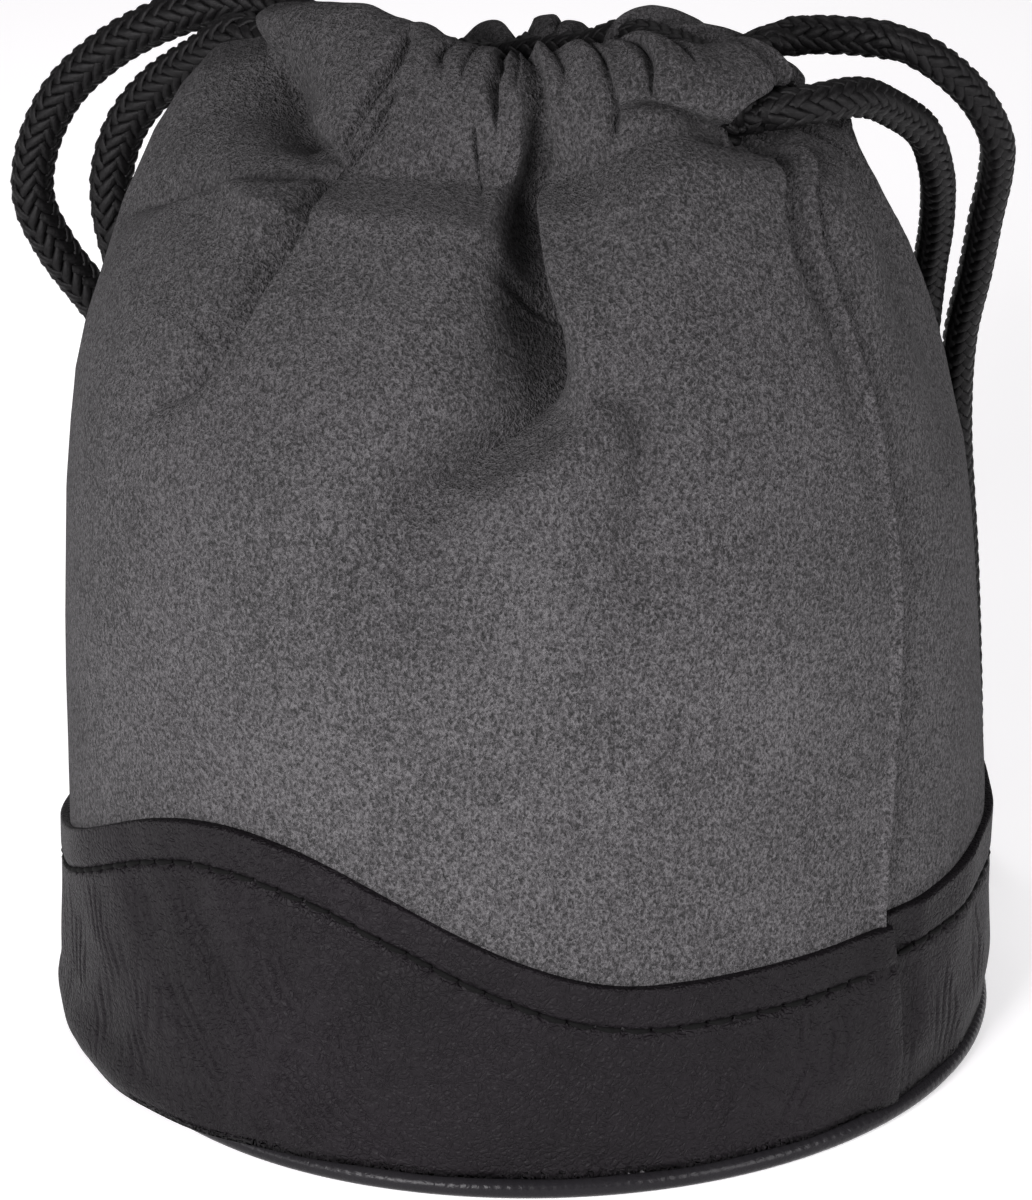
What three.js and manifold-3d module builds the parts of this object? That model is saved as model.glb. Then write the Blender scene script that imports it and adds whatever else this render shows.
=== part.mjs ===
// Drawstring lens pouch: a suede bag with a leather band round its foot, drawn shut by two cords.
// Millimetres, +Z up. The origin is the middle of the base's underside, the front faces -Y, and the
// cords leave the hem on the left at -X and on the right at +X.

import * as THREE from 'three';
import { mergeVertices } from 'three/addons/utils/BufferGeometryUtils.js';
import Module from 'manifold-3d';

const wasm = await Module();
wasm.setup();

// Overall sizes
const pouch_diameter = 100;
const body_height = 97;
const shoulder_height = 58;
const wall_taper = 1.6;
const shoulder_fullness = 2.5;
const end_exponent = 7;
const neck_half_width = 31;
const neck_half_depth = 16;
const fit_gap = 0.3;

// Suede wall
const suede_thickness = 1.2;
const seam_room = 1.1;
const pleat_count = 12;
const pleat_depth = 1.2;
const shoulder_steps = 6;

// Deepest fold of the gathered suede, and the hollow that the right cord pulls into the wall: the angle
// that each faces, half its width, its depth, and the share of the shoulder's height where it starts
const main_fold = { angle: -48, half_angle: 20, depth: 8, start_share: 0.47 };
const cord_hollow = { angle: 20, half_angle: 28, depth: 3, start_share: 0.1 };

// Leather band
const band_thickness = 1.4;
const band_level_height = 21.5;
const band_hump_height = 14.5;
const band_hump_half_angle = 53;

// Stitch rows
const thread_diameter = 0.7;
const thread_sink = 0.4;
const stitch_inset = 4.5;
const stitch_end_margin = 1.5;
const inner_thread_diameter = 0.5;
const hem_thread_inset = 1;
const seam_thread_margin = 3;

// Base
const cover_thickness = 1.2;
const welt_width = 2.6;
const welt_thickness = 1.8;
const welt_lift = 0.2;
const board_thickness = 1.8;
const foam_thickness = 2.8;
const lining_thickness = 0.6;

// Padding
const padding_thickness = 1.8;
const padding_top = 56;

// Drawcords and the channel in the hem that they run in
const cord_diameter = 4;
const cord_clearance = 0.5;
const cord_side_clearance = 1.1;
const strip_thickness = 1;
const strip_lift = 0.2;
const exit_spread = 7;
const exit_hole_diameter = 6;
const exit_reach = 3;
const exit_lead = 2.4;
const exit_hole_depth = 9.6;
const exit_turn = 10;
const knot_length = 15;
const knot_width = 15;
const knot_thickness = 9;
const knot_lift = 0.2;

// Counts
const round_steps = 60;
const cord_sides = 8;
const thread_sides = 5;
const run_steps = 60;
const tail_steps = 20;
const stitch_steps = 32;
const seam_steps = 18;
const welt_sides = 6;
const knot_steps = 14;
const knot_rings = 10;

// Derived sizes
const foot_radius = pouch_diameter / 2 - band_thickness - fit_gap;
const shoulder_radius = foot_radius - wall_taper;
const neck_radius = (neck_half_width + neck_half_depth) / 2;
const channel_width = cord_diameter + 2 * cord_side_clearance;
const cord_depth = suede_thickness + channel_width / 2;
const welt_top = welt_lift + welt_thickness;
const wall_bottom = welt_top + fit_gap;
const board_bottom = cover_thickness + fit_gap;
const foam_bottom = board_bottom + board_thickness + fit_gap;
const lining_bottom = foam_bottom + foam_thickness + fit_gap;
const padding_depth = suede_thickness + seam_room;
const lining_depth = padding_depth + padding_thickness + fit_gap;
const channel_floor = body_height + strip_lift;
const lower_cord_height = channel_floor + strip_thickness + cord_clearance + cord_diameter / 2;
const upper_cord_height = lower_cord_height + cord_diameter + cord_clearance;
const roof_bottom = upper_cord_height + cord_diameter / 2 + cord_clearance;
const roof_top = roof_bottom + suede_thickness;
const exit_end = neck_half_width + exit_reach;

// Colours
const suede = { color: 0x5f5e60, roughness: 0.95, metalness: 0 };
const leather = { color: 0x2f2d31, roughness: 0.5, metalness: 0 };
const glossy_leather = { color: 0x1d1c1e, roughness: 0.25, metalness: 0 };
const thread = { color: 0x0f0f10, roughness: 0.6, metalness: 0 };
const braid = { color: 0x19191a, roughness: 0.7, metalness: 0 };
const cloth = { color: 0x3c3c40, roughness: 0.9, metalness: 0 };
const board = { color: 0x8a8174, roughness: 0.9, metalness: 0 };
const foam = { color: 0x55565a, roughness: 0.95, metalness: 0 };

const pouch = new THREE.Group();

// Adds a named piece in its own material.
function add(name, geometry, finish) {
  const mesh = new THREE.Mesh(geometry, new THREE.MeshStandardMaterial(finish));
  mesh.name = name;
  pouch.add(mesh);
  return mesh;
}

// Turns a closed mesh into a solid that can be cut.
function solidOf(geometry) {
  const bare = geometry.clone();
  bare.deleteAttribute('normal');
  bare.deleteAttribute('uv');
  const merged = mergeVertices(bare);
  const vertProperties = new Float32Array(merged.attributes.position.array);
  const triVerts = new Uint32Array(merged.index.array);
  return new wasm.Manifold(new wasm.Mesh({ numProp: 3, vertProperties, triVerts }));
}

// Turns a solid back into a mesh.
function geometryOf(solid) {
  const mesh = solid.getMesh();
  const geometry = new THREE.BufferGeometry();
  geometry.setAttribute('position', new THREE.BufferAttribute(new Float32Array(mesh.vertProperties), 3));
  geometry.setIndex(new THREE.BufferAttribute(new Uint32Array(mesh.triVerts), 1));
  geometry.computeVertexNormals();
  return geometry;
}

// Radius of the suede's outer face on the straight wall, at one height.
function wallRadius(height) {
  const share = (height - wall_bottom) / (shoulder_height - wall_bottom);
  return foot_radius + (shoulder_radius - foot_radius) * share;
}

// Profile of the face that lies a given depth inside the suede's outer face, from a height on the wall
// up to the top of the shoulder. The shoulder is a quarter of an ellipse made fuller: a fullness of 2
// would be the plain ellipse.
function wallFace(depth, bottom) {
  const points = [new THREE.Vector2(wallRadius(bottom) - depth, bottom)];
  for (let step = 0; step <= shoulder_steps; step += 1) {
    const turn = (step / shoulder_steps) * (Math.PI / 2);
    const across_share = Math.abs(Math.cos(turn)) ** (2 / shoulder_fullness);
    const up_share = Math.sin(turn) ** (2 / shoulder_fullness);
    const radius = neck_radius - depth + (shoulder_radius - neck_radius) * across_share;
    const height = shoulder_height + (body_height - depth - shoulder_height) * up_share;
    points.push(new THREE.Vector2(radius, height));
  }
  return points;
}

// Depth of one fold at an angle and a share of the shoulder's height. It runs out to nothing at both
// sides, at its start and at the neck.
function foldDepth(fold, angle, rise_share) {
  const from_middle = Math.abs(THREE.MathUtils.radToDeg(angle) - fold.angle);
  const side_share = Math.min(1, from_middle / fold.half_angle);
  const length_share = Math.max(0, (rise_share - fold.start_share) / (1 - fold.start_share));
  const across = (1 + Math.cos(Math.PI * side_share)) / 2;
  const along = (1 - Math.cos(2 * Math.PI * length_share)) / 2;
  return fold.depth * across * along;
}

// Moves a point of the round wall in or out to the oval neck, its pleats and its folds. The front and the
// back draw in evenly up the shoulder, while the two ends stand out late, close under the neck.
function drawIn(point, depth_of_pleats) {
  const angle = Math.atan2(point.y, point.x);
  const oval = 1 / Math.hypot(Math.cos(angle) / neck_half_width, Math.sin(angle) / neck_half_depth);
  const pleat = (depth_of_pleats * (1 + Math.cos(pleat_count * angle))) / 2;
  const rise = (point.z - shoulder_height) / (body_height - shoulder_height);
  const rise_share = THREE.MathUtils.clamp(rise, 0, 1);
  const drawn_share = THREE.MathUtils.smoothstep(rise_share, 0, 1);
  const oval_share = oval > neck_radius ? drawn_share ** end_exponent : drawn_share;
  const folded = foldDepth(main_fold, angle, rise_share) + foldDepth(cord_hollow, angle, rise_share);
  const moved = oval_share * (oval - neck_radius) + drawn_share * pleat - folded;
  const radius = Math.hypot(point.x, point.y) + moved;
  point.x = radius * Math.cos(angle);
  point.y = radius * Math.sin(angle);
  return point;
}

// Turns a closed profile round +Z and passes each of its points through a function.
function turned(profile, move = (point) => point) {
  const geometry = new THREE.LatheGeometry([...profile, profile[0]], round_steps);
  geometry.rotateX(Math.PI / 2);
  const position = geometry.attributes.position;
  const point = new THREE.Vector3();
  for (let index = 0; index < position.count; index += 1) {
    point.fromBufferAttribute(position, index);
    point.copy(move(point));
    position.setXYZ(index, point.x, point.y, point.z);
  }
  return geometry;
}

// A flat disc standing on a height.
function disc(radius, bottom, thickness) {
  const geometry = new THREE.CylinderGeometry(radius, radius, thickness, round_steps);
  geometry.rotateX(Math.PI / 2);
  geometry.translate(0, 0, bottom + thickness / 2);
  return geometry;
}

// A round tube of one diameter along a curve.
function tube(curve, diameter, sides, steps) {
  const section = [];
  for (let side = 0; side < sides; side += 1) {
    const turn = (side / sides) * 2 * Math.PI;
    section.push(new THREE.Vector2(Math.cos(turn), Math.sin(turn)).multiplyScalar(diameter / 2));
  }
  const shape = new THREE.Shape(section);
  return new THREE.ExtrudeGeometry(shape, { extrudePath: curve, steps, bevelEnabled: false });
}

// A block that holds everything on the front (-1) or the back (+1) of the side seams.
function seamSide(side) {
  const reach = 2 * pouch_diameter;
  const block = new THREE.BoxGeometry(2 * reach, reach, 2 * reach);
  block.translate(0, side * (reach / 2 + fit_gap / 2), 0);
  return solidOf(block);
}

// Height of the band's top edge above the wall's bottom: level, with one hump in the middle of the
// front and one in the middle of the back.
function bandHeight(angle) {
  const from_middle = Math.abs(Math.abs(THREE.MathUtils.radToDeg(angle)) - 90);
  const share = Math.min(1, from_middle / band_hump_half_angle);
  return band_level_height + (band_hump_height * (1 + Math.cos(Math.PI * share))) / 2;
}

// The whole band as one ring with its wavy top edge.
function bandRing() {
  const outside = band_thickness + fit_gap;
  const level_top = wall_bottom + band_level_height;
  const profile = [
    new THREE.Vector2(wallRadius(wall_bottom) + fit_gap, wall_bottom),
    new THREE.Vector2(wallRadius(wall_bottom) + outside, wall_bottom),
    new THREE.Vector2(wallRadius(level_top) + outside, level_top),
    new THREE.Vector2(wallRadius(level_top) + fit_gap, level_top),
  ];
  return turned(profile, (point) => {
    if (point.z < level_top - fit_gap) {
      return point;
    }
    const angle = Math.atan2(point.y, point.x);
    const top = wall_bottom + bandHeight(angle);
    const radius = Math.hypot(point.x, point.y) + wallRadius(top) - wallRadius(level_top);
    return point.set(radius * Math.cos(angle), radius * Math.sin(angle), top);
  });
}

// The line of stitches on one side of the band, from one side seam to the other.
function stitchLine(side) {
  const points = [];
  const margin = stitch_end_margin / (pouch_diameter / 2);
  for (let step = 0; step <= stitch_steps; step += 1) {
    const angle = side * (margin + (step / stitch_steps) * (Math.PI - 2 * margin));
    const height = wall_bottom + bandHeight(angle) - stitch_inset;
    const radius = wallRadius(height) + fit_gap + band_thickness - thread_sink;
    points.push(new THREE.Vector3(radius * Math.cos(angle), radius * Math.sin(angle), height));
  }
  return new THREE.CatmullRomCurve3(points);
}

// Middle line of the channel at one cord's height, where the cord lies inside the hem.
function channelPoint(angle, height, depth = cord_depth) {
  const radius = neck_radius - depth;
  return drawIn(new THREE.Vector3(radius * Math.cos(angle), radius * Math.sin(angle), height), 0);
}

// A drawcord's run: in through one exit, once round the channel and out through the next exit.
function cordRun(side, height) {
  const exit_y = exit_spread / 2;
  const outer = [
    new THREE.Vector3(side * exit_end, -exit_y, height),
    new THREE.Vector3(side * (exit_end - exit_lead), -exit_y, height),
    new THREE.Vector3(side * (exit_end - 2 * exit_lead), -exit_y, height),
  ];
  const turn = THREE.MathUtils.degToRad(exit_turn);
  const round = [];
  const count = round_steps / 3;
  for (let step = 0; step <= count; step += 1) {
    const angle = -turn - (step / count) * (2 * Math.PI - 2 * turn);
    const point = channelPoint(angle, height);
    round.push(new THREE.Vector3(side * point.x, point.y, height));
  }
  const back = outer.map((point) => new THREE.Vector3(point.x, -point.y, point.z)).reverse();
  return new THREE.CatmullRomCurve3([...outer, ...round, ...back]);
}

// The hole that one strand leaves by, along the last stretch of its run.
function exitHole(side, end, height) {
  const curve = new THREE.LineCurve3(
    new THREE.Vector3(side * (exit_end - exit_hole_depth), (end * exit_spread) / 2, height),
    new THREE.Vector3(side * (exit_end + exit_lead), (end * exit_spread) / 2, height),
  );
  return solidOf(tube(curve, exit_hole_diameter, cord_sides, 1));
}

// A knot lying on the table, its length turned to a heading.
function knot({ x, y, heading }) {
  const ball = new THREE.SphereGeometry(1, knot_steps, knot_rings);
  ball.scale(knot_length / 2, knot_width / 2, knot_thickness / 2);
  ball.rotateZ(THREE.MathUtils.degToRad(heading));
  ball.translate(x, y, knot_lift + knot_thickness / 2);
  return ball;
}

// Upper wall: two suede panels, sewn at the sides, that turn over at the top to make the hem
const hem_depth = suede_thickness + channel_width + strip_thickness;
const suede_profile = [
  ...wallFace(0, wall_bottom),
  new THREE.Vector2(neck_radius, roof_top),
  new THREE.Vector2(neck_radius - hem_depth, roof_top),
  new THREE.Vector2(neck_radius - hem_depth, roof_bottom),
  new THREE.Vector2(neck_radius - suede_thickness, roof_bottom),
  ...wallFace(suede_thickness, wall_bottom).reverse(),
];
let suede_wall = solidOf(turned(suede_profile, (point) => drawIn(point, pleat_depth)));
for (const end of [-1, 1]) {
  suede_wall = suede_wall.subtract(exitHole(-1, end, lower_cord_height));
  suede_wall = suede_wall.subtract(exitHole(1, end, upper_cord_height));
}
add('upper_front_panel', geometryOf(suede_wall.intersect(seamSide(-1))), suede);
add('upper_back_panel', geometryOf(suede_wall.intersect(seamSide(1))), suede);

// Hem strips: the inner wall and the floor of the channel
const strip_outer = neck_radius - suede_thickness - fit_gap;
const strip_wall = neck_radius - suede_thickness - channel_width;
const strip_inner = strip_wall - strip_thickness;
const strip_profile = [
  new THREE.Vector2(strip_inner, channel_floor),
  new THREE.Vector2(strip_outer, channel_floor),
  new THREE.Vector2(strip_outer, channel_floor + strip_thickness),
  new THREE.Vector2(strip_wall, channel_floor + strip_thickness),
  new THREE.Vector2(strip_wall, roof_bottom - fit_gap),
  new THREE.Vector2(strip_inner, roof_bottom - fit_gap),
];
const strip_ring = solidOf(turned(strip_profile, (point) => drawIn(point, 0)));
add('front_hem_strip', geometryOf(strip_ring.intersect(seamSide(-1))), suede);
add('back_hem_strip', geometryOf(strip_ring.intersect(seamSide(1))), suede);

// Hem stitching, under the channel's floor
for (const [name, side] of [['front_hem_thread', -1], ['back_hem_thread', 1]]) {
  const points = [];
  const margin = stitch_end_margin / neck_half_depth;
  const depth = suede_thickness + hem_thread_inset;
  for (let step = 0; step <= seam_steps; step += 1) {
    const angle = side * (margin + (step / seam_steps) * (Math.PI - 2 * margin));
    points.push(channelPoint(angle, channel_floor - fit_gap - inner_thread_diameter / 2, depth));
  }
  const line = new THREE.CatmullRomCurve3(points);
  add(name, tube(line, inner_thread_diameter, thread_sides, seam_steps), thread);
}

// Side seams' thread, inside the wall from the foot to the shoulder
for (const [name, side] of [['left_seam_thread', -1], ['right_seam_thread', 1]]) {
  const depth = suede_thickness + fit_gap + inner_thread_diameter / 2;
  const face = wallFace(depth, wall_bottom + seam_thread_margin).slice(0, -2);
  const points = face.map(({ x, y }) => drawIn(new THREE.Vector3(side * x, 0, y), 0));
  const line = new THREE.CatmullRomCurve3(points);
  add(name, tube(line, inner_thread_diameter, thread_sides, seam_steps), thread);
}

// Leather band, front and back, each with a row of stitches sunk in it
const band_ring = solidOf(bandRing());
for (const [place, side] of [['front', -1], ['back', 1]]) {
  const line = stitchLine(side);
  const groove = solidOf(tube(line, thread_diameter + 2 * fit_gap, thread_sides, stitch_steps));
  const band = band_ring.intersect(seamSide(side)).subtract(groove);
  add(`${place}_band`, geometryOf(band), leather);
  add(`${place}_band_thread`, tube(line, thread_diameter, thread_sides, stitch_steps), thread);
}

// Wall padding and lining
const padding_bottom = foam_bottom;
const padding_profile = [
  new THREE.Vector2(wallRadius(padding_bottom) - padding_depth - padding_thickness, padding_bottom),
  new THREE.Vector2(wallRadius(padding_bottom) - padding_depth, padding_bottom),
  new THREE.Vector2(wallRadius(padding_top) - padding_depth, padding_top),
  new THREE.Vector2(wallRadius(padding_top) - padding_depth - padding_thickness, padding_top),
];
add('wall_padding', turned(padding_profile), foam);

const lining_top = channel_floor - fit_gap;
const lining_profile = [
  ...wallFace(lining_depth, lining_bottom),
  new THREE.Vector2(neck_radius - lining_depth, lining_top),
  new THREE.Vector2(neck_radius - lining_depth - lining_thickness, lining_top),
  ...wallFace(lining_depth + lining_thickness, lining_bottom).reverse(),
];
add('wall_lining', turned(lining_profile, (point) => drawIn(point, 0)), cloth);

// Base: cover, welt, board, foam and lining, one above the other
const welt_outer = wallRadius(wall_bottom) + fit_gap + band_thickness + fit_gap;
const welt_profile = [];
for (let side = 0; side < welt_sides; side += 1) {
  const turn = ((side + 1 / 2) / welt_sides) * 2 * Math.PI;
  const reach = 1 / Math.cos(Math.PI / welt_sides);
  welt_profile.push(new THREE.Vector2(
    welt_outer - welt_width / 2 + (welt_width / 2) * reach * Math.cos(turn),
    welt_lift + (welt_thickness / 2) * (1 + reach * Math.sin(turn)),
  ));
}
const padding_inner = wallRadius(foam_bottom) - padding_depth - padding_thickness;
add('base_welt', turned(welt_profile), glossy_leather);
add('base_cover', disc(welt_outer - welt_width - fit_gap, 0, cover_thickness), leather);
add('base_board', disc(wallRadius(foam_bottom) - padding_depth, board_bottom, board_thickness), board);
add('base_foam', disc(padding_inner - fit_gap, foam_bottom, foam_thickness), foam);
const base_lining_radius = wallRadius(lining_bottom) - lining_depth - lining_thickness - fit_gap;
add('base_lining', disc(base_lining_radius, lining_bottom, lining_thickness), cloth);

// Drawcords where they lie in the channel
add('left_drawcord', tube(cordRun(-1, lower_cord_height), cord_diameter, cord_sides, run_steps), braid);
add('right_drawcord', tube(cordRun(1, upper_cord_height), cord_diameter, cord_sides, run_steps), braid);

// Free strands, from the exits out, over and down behind the pouch to their knot on the table
const tails = {
  left_cord_back_tail: [
    [-34.3, 3.5, 100.7], [-36.5, 3.5, 100.8], [-42.5, 2, 100.4], [-50.1, -0.8, 97.4], [-56, -3, 93.8],
    [-61.1, -5, 88.8], [-63.9, -6.4, 82.4], [-64.1, -6.6, 77.2], [-62.3, -5, 71.6], [-59.5, -1.5, 65],
    [-57.5, 3, 57], [-56.3, 9, 45], [-55.4, 14, 32], [-54.6, 19.5, 18], [-53.5, 25, 7], [-51, 31, 2.7],
    [-48, 36.5, 2.5], [-45, 41.2, 3.2], [-43, 44.2, 4.2],
  ],
  left_cord_front_tail: [
    [-34.3, -3.5, 100.7], [-36.5, -3.5, 100.6], [-41.7, -3.7, 97.2], [-48, -4.1, 92.6], [-52, -4.8, 87.4],
    [-53.4, -5.6, 81.7], [-53.2, -5, 75], [-52, -2, 66], [-51, 4, 55], [-50, 12, 42], [-48.6, 19.5, 28],
    [-47, 26, 15], [-45, 31.5, 5.5], [-42.6, 36, 2.6], [-40.9, 39.2, 3.2], [-39, 41.9, 4.2],
  ],
  right_cord_back_tail: [
    [34.3, 3.5, 105.2], [36.5, 3.5, 105.3], [39, 7.6, 107.4], [37.6, 15.6, 107.8], [35.6, 24.6, 105.4],
    [33, 33.6, 99.8], [30, 41.2, 92.9], [27.4, 45.3, 85.9], [24, 49.2, 76.2], [20.5, 52, 66],
    [18, 54.2, 52], [17, 55.6, 35], [16.2, 56.8, 18], [14.5, 59.5, 6.5], [10.5, 63.5, 2.7], [5, 67.6, 2.7],
    [-1, 71, 4.2],
  ],
  right_cord_front_tail: [
    [34.3, -3.5, 105.2], [36.5, -3.5, 105.2], [40.6, 0.8, 104.6], [41.6, 8, 102.6], [40.2, 15.4, 99.8],
    [37, 22.4, 96], [32.6, 29.6, 90.4], [28.5, 35.4, 84.4], [24.6, 41, 76], [21.5, 45.6, 66],
    [17, 49.4, 50], [11.5, 52, 34], [9, 54.2, 18], [7, 57.6, 6.5], [4.2, 61.4, 2.7], [0.8, 64.4, 2.8],
    [-3.3, 67.1, 4.2],
  ],
};
for (const [name, places] of Object.entries(tails)) {
  const route = new THREE.CatmullRomCurve3(places.map((place) => new THREE.Vector3(...place)));
  add(name, tube(route, cord_diameter, cord_sides, tail_steps), braid);
}

// Knots that tie each drawcord's two ends together, each turned to face its strands
const knots = {
  left_knot: { x: -37.1, y: 49.9, heading: 60 },
  right_knot: { x: -9, y: 73, heading: 150 },
};
for (const [name, place] of Object.entries(knots)) {
  add(name, knot(place), braid);
}

export default pouch;
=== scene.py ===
# %% [markdown]
# # A drawstring lens pouch
# A round suede bag stands on a padded base. A black leather band with a wavy edge is sewn round its
# foot, and two braided cords draw the hem of the mouth shut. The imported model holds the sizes; this
# lesson dresses it, one piece at a time.
#
# Sizes are in millimetres and angles in degrees until a mesh is made. Angles go round the pouch from
# +X, where the right cord leaves, so the front is at -90 and the camera stands at about -50.

# %% Load the frame
import math

import bpy
import numpy as np
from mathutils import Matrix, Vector


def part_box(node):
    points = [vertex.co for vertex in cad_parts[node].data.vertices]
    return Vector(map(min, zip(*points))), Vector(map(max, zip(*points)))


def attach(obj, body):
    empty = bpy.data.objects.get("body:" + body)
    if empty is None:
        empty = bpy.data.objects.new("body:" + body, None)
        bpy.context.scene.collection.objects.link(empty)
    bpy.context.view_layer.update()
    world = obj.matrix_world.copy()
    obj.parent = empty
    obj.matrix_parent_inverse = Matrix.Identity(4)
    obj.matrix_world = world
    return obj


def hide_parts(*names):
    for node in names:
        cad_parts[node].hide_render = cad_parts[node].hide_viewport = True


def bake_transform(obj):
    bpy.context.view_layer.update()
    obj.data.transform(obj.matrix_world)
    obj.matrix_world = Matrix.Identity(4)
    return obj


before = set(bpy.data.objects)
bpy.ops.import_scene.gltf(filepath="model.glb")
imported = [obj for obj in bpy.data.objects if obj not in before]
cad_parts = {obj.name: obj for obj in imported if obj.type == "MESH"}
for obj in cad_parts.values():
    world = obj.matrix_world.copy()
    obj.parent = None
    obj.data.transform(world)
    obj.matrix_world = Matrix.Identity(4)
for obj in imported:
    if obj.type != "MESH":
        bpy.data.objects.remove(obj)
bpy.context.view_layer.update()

MM = 0.001


def node_box(node):
    """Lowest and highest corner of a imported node, in millimetres."""
    low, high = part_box(node)
    return np.array(low) / MM, np.array(high) / MM

# %% [markdown]
# ## Camera and light
# The photograph looks down on the pouch from the front right. How round the foot's ellipse is gives
# the camera's height for its distance, and the spread of the foot gives the lens. The camera stands
# 0.6 m away, as for a small product on a table.

# %% Camera
PICTURE_HEIGHT = 1200
CAMERA_ANGLE = -50.0
CAMERA_DISTANCE = 600.0
CAMERA_HEIGHT = 285.8
CAMERA_PITCH = 21.85
LENS_PIXELS = 6174.7
SENSOR_HEIGHT = 36.0
PICTURE_SHIFT = 11.0

toward_camera = np.array([math.cos(math.radians(CAMERA_ANGLE)), math.sin(math.radians(CAMERA_ANGLE)), 0.0])
picture_right = np.array([-toward_camera[1], toward_camera[0], 0.0])
eye = toward_camera * CAMERA_DISTANCE + np.array([0.0, 0.0, CAMERA_HEIGHT])
sight_drop = CAMERA_DISTANCE * math.tan(math.radians(CAMERA_PITCH))
sight_length = CAMERA_DISTANCE / math.cos(math.radians(CAMERA_PITCH))
target = np.array([0.0, 0.0, CAMERA_HEIGHT - sight_drop])
target = target - picture_right * PICTURE_SHIFT / LENS_PIXELS * sight_length

camera_data = bpy.data.cameras.new("camera")
camera_data.sensor_fit = "VERTICAL"
camera_data.sensor_height = SENSOR_HEIGHT
camera_data.lens = SENSOR_HEIGHT * LENS_PIXELS / PICTURE_HEIGHT
camera_data.clip_start = 0.01
camera = bpy.data.objects.new("camera", camera_data)
camera.location = Vector(eye * MM)
camera.rotation_euler = (Vector(target * MM) - camera.location).to_track_quat("-Z", "Y").to_euler()
bpy.context.scene.collection.objects.link(camera)
bpy.context.scene.camera = camera
print("lens, mm:", round(camera_data.lens, 1))

# %% [markdown]
# Four large soft lamps light the pouch: the key from the left of the camera, a fill from the right, a
# low one that grazes the leather, and one above and behind that shines on the gathered hem. Dark, matt
# things need a broad light more than a strong one, and a little light from all round fills the shade.

# %% Light
AIM_HEIGHT = 50.0
LAMP_TINT = (1, 0.975, 1)
STUDIO_TINT = (1, 0.97, 1, 1)
STUDIO_STRENGTH = 0.16


def area_light(name, angle, height, distance, size, power):
    """A soft square lamp that looks at the pouch's middle."""
    data = bpy.data.lights.new(name, "AREA")
    data.size = size * MM
    data.energy = power
    data.color = LAMP_TINT
    lamp = bpy.data.objects.new(name, data)
    turn = math.radians(angle)
    lamp.location = Vector((distance * math.cos(turn), distance * math.sin(turn), height)) * MM
    aim = Vector((0, 0, AIM_HEIGHT)) * MM - lamp.location
    lamp.rotation_euler = aim.to_track_quat("-Z", "Y").to_euler()
    bpy.context.scene.collection.objects.link(lamp)
    print(name, "watts:", power)


area_light("key_light", -77, 260, 660, 300, 7.7)
area_light("fill_light", 0, 260, 680, 400, 4.8)
area_light("low_light", -112, 40, 600, 200, 1.3)
area_light("top_light", 140, 760, 380, 420, 1.6)

world = bpy.data.worlds.new("studio")
bpy.context.scene.world = world
world.use_nodes = True
world.node_tree.nodes["Background"].inputs["Color"].default_value = STUDIO_TINT
world.node_tree.nodes["Background"].inputs["Strength"].default_value = STUDIO_STRENGTH
bpy.context.scene.view_settings.view_transform = "Standard"

# %% [markdown]
# ## Meshes from grids
# Every soft piece here is a grid of points that is worked out with arrays: rows go up or along the
# piece and columns go round it. One function turns such a grid into a mesh.

# %% Grid to mesh
def grid_faces(rows, columns, closed, start=0):
    """Faces between neighbouring points of a grid, whose points are numbered from start."""
    index = start + np.arange(rows * columns).reshape(rows, columns)
    if closed:
        index = np.concatenate([index, index[:, :1]], axis=1)
    corners = [index[:-1, :-1], index[:-1, 1:], index[1:, 1:], index[1:, :-1]]
    return np.stack(corners, axis=-1).reshape(-1, 4)


def grid_piece(name, points, closed=True, material=None):
    """A smooth mesh from rows and columns of points; closed joins the last column to the first."""
    faces = grid_faces(*points.shape[:2], closed)
    return mesh_piece(name, points.reshape(-1, 3), faces, material)


def mesh_piece(name, points, faces, material=None):
    """A smooth mesh piece from points in millimetres and faces."""
    mesh = bpy.data.meshes.new(name)
    mesh.from_pydata((np.asarray(points) * MM).tolist(), [], np.asarray(faces).tolist())
    mesh.polygons.foreach_set("use_smooth", [True] * len(mesh.polygons))
    mesh.update()
    piece = bpy.data.objects.new(name, mesh)
    bpy.context.scene.collection.objects.link(piece)
    if material is not None:
        mesh.materials.append(material)
    return piece


def join_grids(grids):
    """Points and faces of several open tubes, each a grid whose columns close on themselves."""
    all_points, all_faces, start = [], [], 0
    for points in grids:
        rows, columns = points.shape[:2]
        all_points.append(points.reshape(-1, 3))
        all_faces.append(grid_faces(rows, columns, True, start))
        start += rows * columns
    return np.concatenate(all_points), np.concatenate(all_faces)


print("faces of an open grid of 3 by 4 points:", len(grid_faces(3, 4, False)))

# %% [markdown]
# ## Materials
# One small function adds a node, sets it and links it. Colours are written as sRGB hex, as they are
# read off a picture, and turned to linear light in one place.

# %% Material helpers
def linear(hex_colour):
    """Linear RGBA of an sRGB hex colour."""
    values = [int(hex_colour[place:place + 2], 16) / 255 for place in (1, 3, 5)]
    return [v / 12.92 if v <= 0.04045 else ((v + 0.055) / 1.055) ** 2.4 for v in values] + [1.0]


def add_node(tree, kind, settings=None, **inputs):
    """Adds a node: settings are its own properties, inputs are values or sockets to link.

    An input is named as Blender shows it, with _ for a space, or i0, i1 and so on by its number.
    """
    node = tree.nodes.new(kind)
    for key, value in (settings or {}).items():
        setattr(node, key, value)
    for key, value in inputs.items():
        by_number = key[0] == "i" and key[1:].isdigit()
        socket = node.inputs[int(key[1:]) if by_number else key.replace("_", " ")]
        if isinstance(value, bpy.types.NodeSocket):
            tree.links.new(value, socket)
        else:
            socket.default_value = value
    return node


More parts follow.
